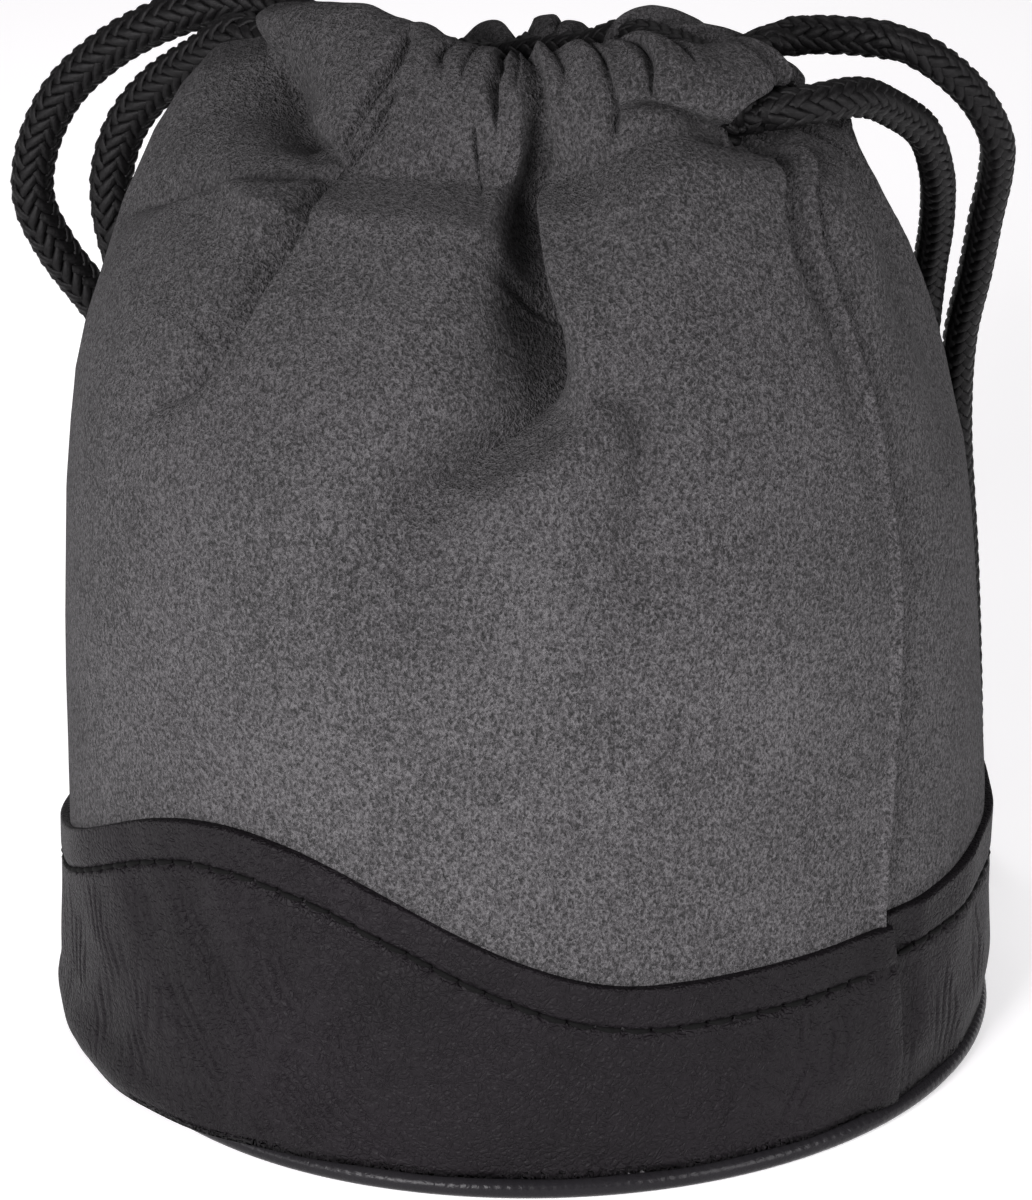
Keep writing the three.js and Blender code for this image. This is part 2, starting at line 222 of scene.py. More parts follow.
def new_material(name):
    """An empty material, its node tree and its shader."""
    material = bpy.data.materials.new(name)
    material.use_nodes = True
    tree = material.node_tree
    tree.nodes.clear()
    shader = tree.nodes.new("ShaderNodeBsdfPrincipled")
    output = tree.nodes.new("ShaderNodeOutputMaterial")
    tree.links.new(shader.outputs["BSDF"], output.inputs["Surface"])
    return material, tree, shader


def ramp(tree, value, stops):
    """A colour ramp with (place, hex colour) stops; returns its colour output."""
    node = add_node(tree, "ShaderNodeValToRGB", Fac=value)
    elements = node.color_ramp.elements
    while len(elements) < len(stops):
        elements.new(0.5)
    for element, (place, hex_colour) in zip(elements, stops):
        element.position = place
        element.color = linear(hex_colour)
    return node.outputs["Color"]


# %% Pattern helpers
def noise(tree, place, size, **inputs):
    """Soft random lumps, about so many millimetres across."""
    return add_node(tree, "ShaderNodeTexNoise", Vector=place, Scale=1 / (size * MM), **inputs).outputs["Fac"]


def add_scaled(tree, value, factor, rest):
    """The value times the factor, plus the rest."""
    settings = {"operation": "MULTIPLY_ADD"}
    return add_node(tree, "ShaderNodeMath", settings, i0=value, i1=factor, i2=rest).outputs["Value"]


def smooth_step(tree, value, start, end):
    """Rises softly from 0 to 1 while the value goes from start to end."""
    settings = {"interpolation_type": "SMOOTHSTEP"}
    return add_node(tree, "ShaderNodeMapRange", settings, Value=value, i1=start, i2=end).outputs["Result"]


def coat(tree, shader, colour, height, depth, strength, **settings):
    """Gives the shader its colour, a relief so many millimetres deep, and its other settings."""
    tree.links.new(colour, shader.inputs["Base Color"])
    bump = add_node(tree, "ShaderNodeBump", Height=height, Strength=strength, Distance=depth * MM)
    tree.links.new(bump.outputs["Normal"], shader.inputs["Normal"])
    for key, value in settings.items():
        shader.inputs[key.replace("_", " ")].default_value = value


print("sRGB #808080 in linear light:", round(linear("#808080")[0], 3))

# %% [markdown]
# ### Suede
# Suede is the flesh side of a hide, buffed until its fibres stand up as a short nap. Each tuft leans
# its own way, so the eye sees dark and light flecks of about a third of a millimetre, and no shine at
# all but a faint bloom at the edges. The flecks are noise, a little longer up the wall than across it,
# that drives both colour and bump. Small pits lie between the tufts, and painted shade darkens them and,
# more and more, the colour towards the gathered top. The real fibres are about 0.02 mm thick, too fine
# for the picture, so they are drawn as clumps of 0.18 mm.

# %% Suede material
SUEDE_FLECK = 0.36
SUEDE_FIBRE = 0.18
SUEDE_PIT = 0.5
SUEDE_CLOUD = 14.0
# How much the fibres and the clouds add to the flecks; the pits' painted shade and their relief.
FIBRE_SHARE, CLOUD_SHARE = 0.4, 0.18
PIT_PAINTED_SHADE, PIT_RELIEF = -0.13, -0.35
PIT_START, PIT_END = 0.52, 0.72
NAP_LEAN = (0.3, 0.25, 0.0)
NAP_STRETCH = (1.0, 1.0, 0.85)
NAP_HEIGHT = 0.6
# Where the painted shade starts, where it is darkest, and what is left of the colour's lightness there.
PAINTED_SHADE_START, PAINTED_SHADE_END, PAINTED_SHADE_LEFT = 52.0, 106.0, 0.62


def napped_suede(name, dark, middle, light):
    """A matt nap of leaning tufts and small pits, darkened by painted shade towards the gathered top."""
    material, tree, shader = new_material(name)
    place = add_node(tree, "ShaderNodeTexCoord").outputs["Object"]
    leaning = add_node(tree, "ShaderNodeMapping", Vector=place, Rotation=NAP_LEAN, Scale=NAP_STRETCH)
    nap = leaning.outputs["Vector"]
    fleck = noise(tree, nap, SUEDE_FLECK, Detail=2.0, Roughness=0.6, Distortion=0.4)
    fibre = noise(tree, nap, SUEDE_FIBRE, Detail=2.0, Roughness=0.7)
    cloud = noise(tree, place, SUEDE_CLOUD, Detail=2.0)
    hole = noise(tree, nap, SUEDE_PIT, Detail=1.0, Distortion=0.8)
    pit = smooth_step(tree, hole, PIT_START, PIT_END)
    tufts = add_scaled(tree, fibre, FIBRE_SHARE, fleck)
    # Painted shade: the pits darken the colour, besides their relief.
    pitted = add_scaled(tree, pit, PIT_PAINTED_SHADE, add_scaled(tree, cloud, CLOUD_SHARE, tufts))
    colour = ramp(tree, pitted, [(0.56, dark), (0.76, middle), (0.94, light)])
    # Painted shade: the colour is darkened more and more towards the gathered top.
    level = add_node(tree, "ShaderNodeSeparateXYZ", Vector=place).outputs["Z"]
    shade = add_node(tree, "ShaderNodeMapRange", Value=level, i1=PAINTED_SHADE_START * MM, i2=PAINTED_SHADE_END * MM,
                     i3=1.0, i4=PAINTED_SHADE_LEFT)
    painted_shade_colour = add_node(tree, "ShaderNodeVectorMath", {"operation": "SCALE"}, i0=colour,
                      Scale=shade.outputs["Result"])
    relief = add_scaled(tree, pit, PIT_RELIEF, tufts)
    coat(tree, shader, painted_shade_colour.outputs["Vector"], relief, NAP_HEIGHT, 1.0,
         Roughness=1.0, Specular_IOR_Level=0.05, Sheen_Weight=0.03, Sheen_Roughness=0.5)
    return material


suede = napped_suede("napped_grey_suede", "#272727", "#3e3d3e", "#545354")
print("suede flecks, mm:", SUEDE_FLECK)

# %% [markdown]
# ### Band leather
# The band is cowhide split, coated and pressed with a fine pebble grain. The coat gives a low, broad
# shine, and the grain breaks it into small cells with finer pores between.

# %% Leather material
GRAIN_CELL = 0.7
GRAIN_PORE = 0.25
GRAIN_CLOUD = 18.0
GRAIN_WARP = 1.2
GRAIN_DEPTH = 0.12
PORE_SHARE = 0.4
PEBBLE_EDGE = 0.28


def grained_leather(name, dark, light, roughness, strength):
    """Coated leather with pebbles and pores; strength is that of its relief."""
    material, tree, shader = new_material(name)
    place = add_node(tree, "ShaderNodeTexCoord").outputs["Object"]
    warp = add_node(tree, "ShaderNodeTexNoise", Vector=place, Scale=1 / (3 * GRAIN_CELL * MM), Detail=3.0)
    bent = add_node(tree, "ShaderNodeMixRGB", {"blend_type": "LINEAR_LIGHT"}, Fac=GRAIN_WARP * MM,
                    Color1=place, Color2=warp.outputs["Color"])
    cell = add_node(tree, "ShaderNodeTexVoronoi", {"feature": "DISTANCE_TO_EDGE"},
                    Vector=bent.outputs["Color"], Scale=1 / (GRAIN_CELL * MM))
    pebble = smooth_step(tree, cell.outputs["Distance"], 0.0, PEBBLE_EDGE)
    pore = noise(tree, place, GRAIN_PORE, Detail=2.0)
    cloud = noise(tree, place, GRAIN_CLOUD, Detail=3.0)
    gloss = add_node(tree, "ShaderNodeMapRange", Value=pore, i1=0.3, i2=0.7,
                     i3=roughness - 0.06, i4=roughness + 0.08)
    tree.links.new(gloss.outputs["Result"], shader.inputs["Roughness"])
    colour = ramp(tree, cloud, [(0.3, dark), (0.7, light)])
    coat(tree, shader, colour, add_scaled(tree, pore, PORE_SHARE, pebble), GRAIN_DEPTH, strength,
         IOR=1.45, Specular_IOR_Level=0.12)
    return material


band_leather = grained_leather("pressed_grain_cowhide", "#0c0a0c", "#120f12", 0.52, 1.0)
base_leather = grained_leather("base_cover_cowhide", "#1d1c1f", "#262428", 0.6, 0.4)
welt_leather = grained_leather("glazed_welt_leather", "#141315", "#1b1a1c", 0.28, 0.12)
print("leather grain, mm:", GRAIN_CELL)

# %% [markdown]
# ### Thread, braid, lining, felt and board
# The thread and the braid are spun nylon and polyester: near black, with a soft sheen along each
# strand that fine twist lines break up. The lining is a plain weave, the padding a needled felt and
# the board pressed pulp.

# %% Textile materials
YARN_TWIST = 0.35
# A real lining has threads about 0.3 mm apart; they are drawn ten times as coarse, to show at all.
LINING_WEAVE = 3.1416
# The wave pattern has this many waves in a metre when its scale is 1.
WAVES_AT_SCALE_ONE = 10 / math.pi
YARN_RELIEF, WEAVE_RELIEF, FIBRE_RELIEF = 0.15, 0.1, 0.3


def spun_yarn(name, dark, light, roughness):
    """Twisted fibres that run together to a thread."""
    material, tree, shader = new_material(name)
    place = add_node(tree, "ShaderNodeTexCoord").outputs["Object"]
    twist = noise(tree, place, YARN_TWIST, Detail=3.0, Roughness=0.7)
    colour = ramp(tree, twist, [(0.35, dark), (0.75, light)])
    coat(tree, shader, colour, twist, YARN_RELIEF, 0.5, Roughness=roughness, Specular_IOR_Level=0.11)
    return material


def plain_weave(name, dark, light, pitch):
    """Threads one over the other, so many millimetres apart."""
    material, tree, shader = new_material(name)
    place = add_node(tree, "ShaderNodeTexCoord").outputs["Object"]
    threads = []
    for direction in ("X", "Z"):
        wave = add_node(tree, "ShaderNodeTexWave", {"bands_direction": direction}, Vector=place,
                        Scale=1 / (pitch * MM) / WAVES_AT_SCALE_ONE, Distortion=0.6)
        threads.append(wave.outputs["Fac"])
    woven = add_node(tree, "ShaderNodeMath", {"operation": "MULTIPLY"}, i0=threads[0], i1=threads[1])
    woven = woven.outputs["Value"]
    colour = ramp(tree, woven, [(0.1, dark), (0.8, light)])
    coat(tree, shader, colour, woven, WEAVE_RELIEF, 0.4, Roughness=0.85)
    return material


def matted_fibre(name, dark, light, grain):
    """Fibres pressed to a felt or a board, in clumps of so many millimetres."""
    material, tree, shader = new_material(name)
    place = add_node(tree, "ShaderNodeTexCoord").outputs["Object"]
    fibre = noise(tree, place, grain, Detail=4.0, Roughness=0.7)
    colour = ramp(tree, fibre, [(0.3, dark), (0.7, light)])
    coat(tree, shader, colour, fibre, FIBRE_RELIEF, 0.5, Roughness=0.95)
    return material


sewing_thread = spun_yarn("twisted_nylon_thread", "#020202", "#080808", 0.85)
braid_yarn = spun_yarn("braided_polyester_cord", "#040404", "#111011", 0.5)
lining_cloth = plain_weave("woven_polyester_lining", "#2a2a2d", "#46464a", LINING_WEAVE)
padding_felt = matted_fibre("needled_grey_felt", "#4a4a4e", "#77777b", 1.2)
pulp_board = matted_fibre("pressed_pulp_board", "#6f6558", "#94897a", 0.8)
print("materials in the file:", len(bpy.data.materials))

# %% [markdown]
# ## Cords
# Each drawcord is one 4 mm braid, nearly half a metre long, with both ends tied in one knot. It runs round
# inside the hem and leaves it as two free strands, which bow out, drop behind the pouch and lie on the
# table up to their knot. The routes were chosen one by one over the photograph.

# %% Routes of the strands
CORD_DIAMETER = 4.0

routes = {
    "left_back": [
        (-34.3, 3.5, 101.2), (-36.5, 3.5, 101.7), (-42.5, 2, 101.8), (-50.1, -0.8, 98.8), (-56.3, -3, 94.7),
        (-61.3, -5, 89.2), (-63.9, -6.4, 82.4), (-64.1, -6.6, 77.2), (-62.3, -5, 71.6), (-59.5, -1.5, 65),
        (-57.5, 3, 57), (-56.3, 9, 45), (-55.4, 14, 32), (-54.6, 19.5, 18), (-53.5, 25, 7), (-51, 31, 2.7),
        (-48, 36.5, 2.5), (-45, 41.2, 3.2), (-43, 44.2, 4.2),
    ],
    "left_front": [
        (-34.3, -3.5, 100.7), (-36.5, -3.5, 100.6), (-41.7, -3.7, 97.2), (-48, -4.1, 92.6),
        (-52, -4.8, 87.4), (-53.4, -5.6, 81.7), (-53.2, -5, 75), (-52, -2, 66), (-51, 4, 55), (-50, 12, 42),
        (-48.6, 19.5, 28), (-47, 26, 15), (-45, 31.5, 5.5), (-42.6, 36, 2.6), (-40.9, 39.2, 3.2),
        (-39, 41.9, 4.2),
    ],
    "right_back": [
        (15, 12.5, 103.5), (19, 17.5, 106), (25.5, 20.5, 106.8), (31.4, 22.8, 106.2), (34.2, 28.7, 101.1),
        (34.1, 33.9, 94.8), (31.9, 37.2, 89.8), (28.9, 39.9, 83.6), (25.2, 43.4, 75.8), (20.9, 47.0, 66.5),
        (18, 50.6, 55), (17, 54, 38), (16.2, 56.8, 18), (14.5, 59.5, 6.5), (10.5, 63.5, 2.7), (5, 67.6, 2.7),
        (-1, 71, 4.2),
    ],
    "right_front": [
        (26.0, -3.2, 104.0), (29.8, -1.6, 104.7), (33.6, 2.6, 105.4), (34.8, 9.6, 104.8),
        (34.2, 16.2, 101.8), (33.3, 22.5, 97.8), (30.9, 28.2, 91.7), (28.4, 32.0, 87.3), (25.9, 35.2, 82.6),
        (22.8, 38.6, 77.2), (19.0, 42.8, 68), (15.2, 46.8, 55), (11.6, 50.4, 37), (9, 54.0, 19),
        (7, 57.6, 6.5), (4.2, 61.4, 2.7), (0.8, 64.4, 2.8), (-3.3, 67.1, 4.2),
    ],
}
print("strands:", list(routes))

# %% Curve through the points of a route
ROUTE_FINENESS = 24


def smooth_route(points, step):
    """Points evenly spaced along a smooth curve through the given points."""
    points = np.asarray(points, float)
    padded = np.concatenate([[2 * points[0] - points[1]], points, [2 * points[-1] - points[-2]]])
    chord = np.linalg.norm(np.diff(padded, axis=0), axis=1) ** 0.5
    knots = np.concatenate([[0], np.cumsum(chord)])
    dense = []
    for segment in range(1, len(padded) - 2):
        p0, p1, p2, p3 = padded[segment - 1:segment + 3]
        t0, t1, t2, t3 = knots[segment - 1:segment + 3]
        t = np.linspace(t1, t2, ROUTE_FINENESS, endpoint=False)[:, None]
        a1 = (t1 - t) / (t1 - t0) * p0 + (t - t0) / (t1 - t0) * p1
        a2 = (t2 - t) / (t2 - t1) * p1 + (t - t1) / (t2 - t1) * p2
        a3 = (t3 - t) / (t3 - t2) * p2 + (t - t2) / (t3 - t2) * p3
        b1 = (t2 - t) / (t2 - t0) * a1 + (t - t0) / (t2 - t0) * a2
        b2 = (t3 - t) / (t3 - t1) * a2 + (t - t1) / (t3 - t1) * a3
        dense.append((t2 - t) / (t2 - t1) * b1 + (t - t1) / (t2 - t1) * b2)
    dense = np.concatenate(dense + [points[-1:]])
    along = np.concatenate([[0], np.cumsum(np.linalg.norm(np.diff(dense, axis=0), axis=1))])
    count = max(2, int(round(along[-1] / step)) + 1)
    even = np.linspace(0, along[-1], count)
    return np.stack([np.interp(even, along, dense[:, axis]) for axis in range(3)], axis=1), along[-1]


def carried_frames(path, flat_faces=None):
    """A wide and a thin direction for each point of a path: carried along it, or with its flat one way."""
    tangents = np.gradient(path, axis=0)
    tangents /= np.linalg.norm(tangents, axis=1)[:, None]
    if flat_faces is not None:
        wide = np.cross(tangents, np.asarray(flat_faces, float))
        wide /= np.linalg.norm(wide, axis=1)[:, None]
        return wide, np.cross(tangents, wide)
    start = np.array([0.0, 0.0, 1.0]) if abs(tangents[0][2]) < 0.9 else np.array([1.0, 0.0, 0.0])
    side = np.cross(start, tangents[0])
    sides = [side / np.linalg.norm(side)]
    for tangent in tangents[1:]:
        side = sides[-1] - tangent * np.dot(sides[-1], tangent)
        sides.append(side / np.linalg.norm(side))
    sides = np.array(sides)
    return sides, np.cross(tangents, sides)


print("left back route, mm:", round(smooth_route(routes["left_back"], 1.0)[1], 1))

# %% [markdown]
# ### The braid
# Eight strands turn each way round a plain core, and each goes over two of the others, then under two.
# A strand is a flattened tube on a helix whose height rises and falls with that beat. This gives the
# rows of small chevrons that catch the light along the cord.

# %% Braid
STRANDS_EACH_WAY = 8
BRAID_TURN = 14.0
STRAND_WIDTH = 1.3
STRAND_THICKNESS = 0.7
BRAID_STEP = 0.5
STRAND_SIDES = 6
STRAND_SWING, STRAND_INSET = 0.55, 0.6
CORE_SHARE = 0.62
CORE_SIDES = 10
CUT_SHARE = 0.04
CORD_OVALS = {"left": (1.22, 0.9), "right": (1.03, 0.9)}


def closed_ends(rings):
    """A tube's rings with one shrunken ring more at each end, which closes it like a cut cord."""
    closed = []
    for ring in (rings[:1], rings[-1:]):
        middle = ring.mean(axis=1, keepdims=True)
        closed.append(middle + (ring - middle) * CUT_SHARE)
    return np.concatenate([closed[0], rings, closed[1]])


def braid_piece(name, path, diameter=CORD_DIAMETER, flat_faces=None, oval=(1.0, 1.0)):
    """A braided cord along an evenly spaced path; one that shows its flat is oval."""
    sides, ups = carried_frames(path, flat_faces)
    wide, thin = oval
    along = np.concatenate([[0], np.cumsum(np.linalg.norm(np.diff(path, axis=0), axis=1))])
    rise = STRAND_THICKNESS / 2 * STRAND_SWING
    middle = diameter / 2 - STRAND_THICKNESS / 2 - rise * STRAND_INSET
    grids = []
    for way in (-1, 1):
        for strand in range(STRANDS_EACH_WAY):
            turn = way * 2 * np.pi * along / BRAID_TURN + 2 * np.pi * strand / STRANDS_EACH_WAY
            beat = way * STRANDS_EACH_WAY * np.pi * along / BRAID_TURN
            lift = way * np.cos(beat + np.pi * strand - np.pi / 4) * rise
            radius = (middle + lift)[:, None]
            out = np.cos(turn)[:, None] * sides * wide + np.sin(turn)[:, None] * ups * thin
            centre = path + radius * out
            out = out / np.linalg.norm(out, axis=1)[:, None]
            forward = np.gradient(centre, axis=0)
            forward /= np.linalg.norm(forward, axis=1)[:, None]
            across = np.cross(forward, out)
            across /= np.linalg.norm(across, axis=1)[:, None]
            rings = []
            for side in range(STRAND_SIDES):
                corner = 2 * np.pi * side / STRAND_SIDES
                rings.append(centre + across * (STRAND_WIDTH / 2 * np.cos(corner))
                             + out * (STRAND_THICKNESS / 2 * np.sin(corner)))
            grids.append(closed_ends(np.stack(rings, axis=1)))
    core = diameter / 2 * CORE_SHARE
    turns = np.linspace(0, 2 * np.pi, CORE_SIDES, endpoint=False)[None, :, None]
    ring = np.cos(turns) * sides[:, None] * wide + np.sin(turns) * ups[:, None] * thin
    grids.append(closed_ends(path[:, None] + core * ring))
    points, faces = join_grids(grids)
    return mesh_piece(name, points, faces, braid_yarn)


print("turn of a braid strand, mm:", BRAID_TURN)

# %% [markdown]
# ### Knots
# Both ends of a cord are tied together in one round knot. It is drawn as a three-lobed crossing loop
# of the same braid, pulled tight. The two strands run into the gap between two lobes, and the two cut
# ends peep out of the other gaps.

# %% Knots
KNOT_LOBE = 1.9
KNOT_RISE = 2.1
KNOT_TIGHTNESS = 0.97
CUT_END_TIGHTNESS = 0.94
CUT_END_REACH = 7.2
# A three-lobed loop has a gap 30 degrees from its first axis, and then one every 120 degrees.
FIRST_GAP, NEXT_GAP = math.radians(30), math.radians(120)
strand_bodies = {"left": "left_cord", "right": "right_cord"}
knot_centres = {side: np.mean(node_box(f"{side}_knot"), axis=0) for side in strand_bodies}
knot_pieces = {}


def level_direction(angle):
    """A level step of length one at an angle."""
    return np.array([math.cos(angle), math.sin(angle), 0.0])


def knot_piece(name, centre, facing):
    """The knot's loop, with the gap between two of its lobes towards the strands."""
    turn = np.linspace(0, 2 * np.pi, 120)
    along = KNOT_LOBE * (np.sin(turn) + 2 * np.sin(2 * turn))
    across = KNOT_LOBE * (np.cos(turn) - 2 * np.cos(2 * turn))
    spin = facing + FIRST_GAP
    loop = (along[:, None] * level_direction(spin) + across[:, None] * level_direction(spin + math.pi / 2)
            + np.outer(-KNOT_RISE * np.sin(3 * turn), [0, 0, 1]) + centre)
    path, _ = smooth_route(loop, BRAID_STEP)
    return braid_piece(name, path, diameter=CORD_DIAMETER * KNOT_TIGHTNESS)


def cut_end_piece(name, centre, angle):
    """A short cut end that peeps out between two lobes."""
    direction = level_direction(angle)
    path, _ = smooth_route([centre + direction, centre + direction * CUT_END_REACH], BRAID_STEP)
    return braid_piece(name, path, diameter=CORD_DIAMETER * CUT_END_TIGHTNESS)


for side, body in strand_bodies.items():
    centre = knot_centres[side]
    strand_ends = np.mean([route[-1] for name, route in routes.items() if name.startswith(side)], axis=0)
    facing = math.atan2(strand_ends[1] - centre[1], strand_ends[0] - centre[0])
    knot = knot_piece(f"{side}_knot_tied", centre, facing)
    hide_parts(f"{side}_knot")
    cut_ends = [cut_end_piece(f"{side}_{which}_cut_end", centre, facing + angle)
                for which, angle in (("near", NEXT_GAP), ("far", -NEXT_GAP))]
    knot_pieces[side] = [knot] + cut_ends
    for piece in knot_pieces[side]:
        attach(piece, body)
    print(side, "knot faces", round(math.degrees(facing)), "degrees")

# %% [markdown]
# ### Free strands
# Each strand starts a little way inside the hem, hangs along its route and runs into its knot.

# %% Free strands
HIDDEN_LEAD = 8.0
# The direction that the flat of the braid faces.
FLAT_FACES = {"left": (0.64, -0.77, 0.15), "right": (0.77, 0.64, 0.15)}
# How far each strand runs on from its route's end, as a share of the way to the knot's middle.
KNOT_REACH = 0.6

for name, route in routes.items():
    side, place = name.split("_")
    route_end = np.array(route[-1])
    route = route + [tuple(route_end + (knot_centres[side] - route_end) * KNOT_REACH)]
    outward = -1.0 if side == "left" else 1.0
    exit_point = np.array(route[0], float)
    first_step = np.array(route[1], float) - exit_point
    lead = exit_point - first_step * HIDDEN_LEAD / math.dist(route[0], route[1])
    path, _ = smooth_route([lead] + route, BRAID_STEP)
    strand = braid_piece(f"{side}_{place}_strand", path, flat_faces=FLAT_FACES[side], oval=CORD_OVALS[side])
    _, free_length = smooth_route(route, 4 * BRAID_STEP)
    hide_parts(f"{side}_cord_{place}_tail")
    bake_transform(strand)
    print(name, "strand, mm:", round(free_length, 1))

# %% [markdown]
# ### Cords inside the hem
# The rest of each cord lies in the hem, against its inner wall and clear of the gathers outside. Where
# the hem sags at the back, the cord sags with it. Its two ends leave side by side, next to the exit.

# %% Cords inside the hem
RUN_INSET = 1.0
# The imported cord's ends reach this far past its loop, and they lie this far to each side of the middle.
RUN_ENDS = 5.3
RUN_END_ASIDE = 3.5
# Where the drawn ends have their points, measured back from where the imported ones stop.
RUN_END_PLACES = (3.6, 4.8, 6.0)
RUN_START_ANGLE = 14
# How far the cords sag, at angles round the pouch.
run_sag = {
    "left": [
        (-180, 0), (60, 0), (78, 0.9), (96, 2.4), (120, 3.2), (140, 5.0), (155, 5.4), (163, 3.4), (172, 0),
    ],
    "right": [
        (-180, 3.0), (-170, 1.8), (-160, 0.4), (-150, 0), (60, 0), (78, 0.9), (96, 2.8), (120, 3.6),
        (140, 5.4), (155, 6.0), (168, 5.0), (180, 3.0),
    ],
}

for side in strand_bodies:
    low, high = node_box(f"{side}_drawcord")
    height = (low[2] + high[2]) / 2
    outward = -1.0 if side == "left" else 1.0
    across = (high[0] - low[0] - RUN_ENDS) / 2 - CORD_DIAMETER / 2 - RUN_INSET
    along = (high[1] - low[1]) / 2 - CORD_DIAMETER / 2 - RUN_INSET
    reach = high[0] if side == "right" else -low[0]
    ends = [(outward * (reach - back), RUN_END_ASIDE, height) for back in RUN_END_PLACES]
    arc = [
        (outward * across * math.cos(turn), along * math.sin(turn), height)
        for turn in np.linspace(math.radians(RUN_START_ANGLE), math.radians(360 - RUN_START_ANGLE), 40)
    ]
    mirrored = [(x, -y, z) for x, y, z in reversed(ends)]
    places = np.array(ends + arc + mirrored)
    turns = np.degrees(np.arctan2(places[:, 1], places[:, 0]))
    places[:, 2] -= np.interp(turns, *np.transpose(run_sag[side]))
    path, length = smooth_route(places, BRAID_STEP)
    run = braid_piece(f"{side}_run", path)
    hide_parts(f"{side}_drawcord")
    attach(run, "pouch")
    print(side, "run in the hem, mm:", round(length, 1))

# %% [markdown]
# ## Suede wall
# The wall is a tube of suede that the cords gather at the top. Below the shoulder it stands nearly
# straight; above it the cloth has nowhere to go and falls into folds. The shape starts as a smooth
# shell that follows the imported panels, and each fold is then pressed in along a line that was read
# off the photograph: angle and height, how deep it is, and how far it spreads on either side.

# %% Lines and fullness of the wall
WALL_BOTTOM = 2.3
FOOT_RADIUS = 48.5
NECK_HALF_WIDTH, NECK_HALF_DEPTH = 31.0, 16.0

# Height of the line where the suede is pinched round the cords, at angles round the pouch.
neck_line = np.array([
    (-180, 102), (-156, 101.5), (-149, 98.5), (-130, 97), (-112, 97), (-90, 97), (-68, 97.5), (-50, 97),
    (-40, 98.5), (-30, 103.0), (-21, 104.5), (-14, 103.6), (-7, 102.5), (10, 102), (40, 101.5), (78, 98.5),
    (96, 96.2), (120, 94.6), (140, 93), (155, 92.8), (166, 95.5), (174, 99), (180, 102),
])
# How much cloth fills the corner between the shoulder and the hem.
neck_filling = np.array([
    (-180, 1), (-158, 1.5), (-146, 0.5), (-136, 1), (-122, 6), (-105, 8), (-90, 6.5), (-78, 5), (-66, 4),
    (-56, 3.5), (-50, 1.5), (-46, 0.5), (-42, 1.5), (-36, 3.5), (-28, 4), (-18, 3), (-8, 2), (0, 0),
    (10, 0), (20, 2), (40, 4), (70, 4), (130, 4), (160, 3), (180, 1),
])
# Height of the hem's top: it rises and dips from gather to gather.
hem_line = np.array([
    (-180, 104.8), (-171, 105.6), (-162, 107.1), (-156, 108.4), (-150, 109.2), (-138, 110.3), (-132, 110),
    (-126, 109.8), (-117, 109.9), (-111, 110.3), (-108, 109.7), (-99, 109.2), (-78, 108.9), (-57, 109.3),
    (-51, 110.1), (-45, 111.1), (-39, 110.6), (-33, 111.8), (-27, 111.3), (-24, 112.6), (-21, 113.3),
    (-15, 112.6), (-9, 111.5), (0, 111.5), (12, 108.9), (18, 108.1), (27, 107.6), (36, 106.3), (39, 106.3),
    (45, 107.4), (54, 107.1), (66, 108.1), (75, 107.4), (90, 105.5), (96, 104.2), (99, 104.1), (102, 104.5),
    (120, 104.7), (126, 104.2), (132, 102.8), (138, 103.3), (144, 102.9), (147, 101.6), (153, 101.6),
    (156, 102.5), (162, 101.9), (168, 102.8), (171, 103.8), (180, 104.8),
])
# How full the wall is at shares of its height, as a share of the way from the neck's radius to the foot's,
# where it faces the given angle.
fullness = {
    -140: [
        (0, 1), (0.275, 1.0), (0.444, 0.993), (0.594, 0.98), (0.66, 0.965), (0.712, 0.945),
        (0.762, 0.905), (0.847, 0.79), (0.911, 0.66), (0.955, 0.53), (0.985, 0.35), (1, 0),
    ],
    -50: [
        (0, 1), (0.275, 1.0), (0.444, 0.985), (0.594, 0.955), (0.712, 0.89), (0.762, 0.85),
        (0.847, 0.73), (0.911, 0.58), (0.955, 0.42), (0.985, 0.22), (1, 0),
    ],
    40: [
        (0, 1), (0.239, 0.993), (0.415, 0.945), (0.556, 0.90), (0.622, 0.865), (0.717, 0.77),
        (0.806, 0.67), (0.869, 0.58), (0.9345, 0.465), (0.962, 0.40), (0.981, 0.32), (1, 0),
    ],
    130: [
        (0, 1), (0.275, 1.0), (0.444, 0.985), (0.594, 0.95), (0.712, 0.90), (0.762, 0.86),
        (0.847, 0.76), (0.911, 0.64), (0.955, 0.51), (0.985, 0.34), (1, 0),
    ],
}
print("highest point of the hem, mm:", hem_line[:, 1].max())

# %% Radius of the smooth wall
# How far the filled corner reaches below and above the neck line.
CORNER_BELOW, CORNER_ABOVE = 3.0, 6.0


def neck_oval(angle):
    """Radius of the drawn-in neck at an angle."""
    turn = np.radians(angle)
    return 1 / np.hypot(np.cos(turn) / NECK_HALF_WIDTH, np.sin(turn) / NECK_HALF_DEPTH)


def smooth_share(value, start, end):
    """Rises softly from 0 to 1 while the value goes from start to end."""
    share = np.clip((value - start) / (end - start), 0, 1)
    return share * share * (3 - 2 * share)


def read_round(line, angle, soft=4.0):
    """Value of a line of (angle, value) points at angles, softened over some degrees to each side."""
    around = [np.interp((angle + share * soft + 180) % 360 - 180, line[:, 0], line[:, 1])
              for share in (-1, -0.5, 0, 0.5, 1)]
    return sum(around) / len(around)


def wall_radius(angle, height):
    """Radius of the suede before its folds, up to the neck."""
    share = np.clip((height - WALL_BOTTOM) / (read_round(neck_line, angle) - WALL_BOTTOM), 0, 1)
    total, weights = 0, 0
    for centre, rows in fullness.items():
        rows = np.array(rows)
        weight = ((1 + np.cos(np.radians(angle - centre))) / 2) ** 3
        total = total + weight * np.interp(share, rows[:, 0], rows[:, 1])
        weights = weights + weight
    return neck_oval(angle) + (FOOT_RADIUS - neck_oval(angle)) * total / weights


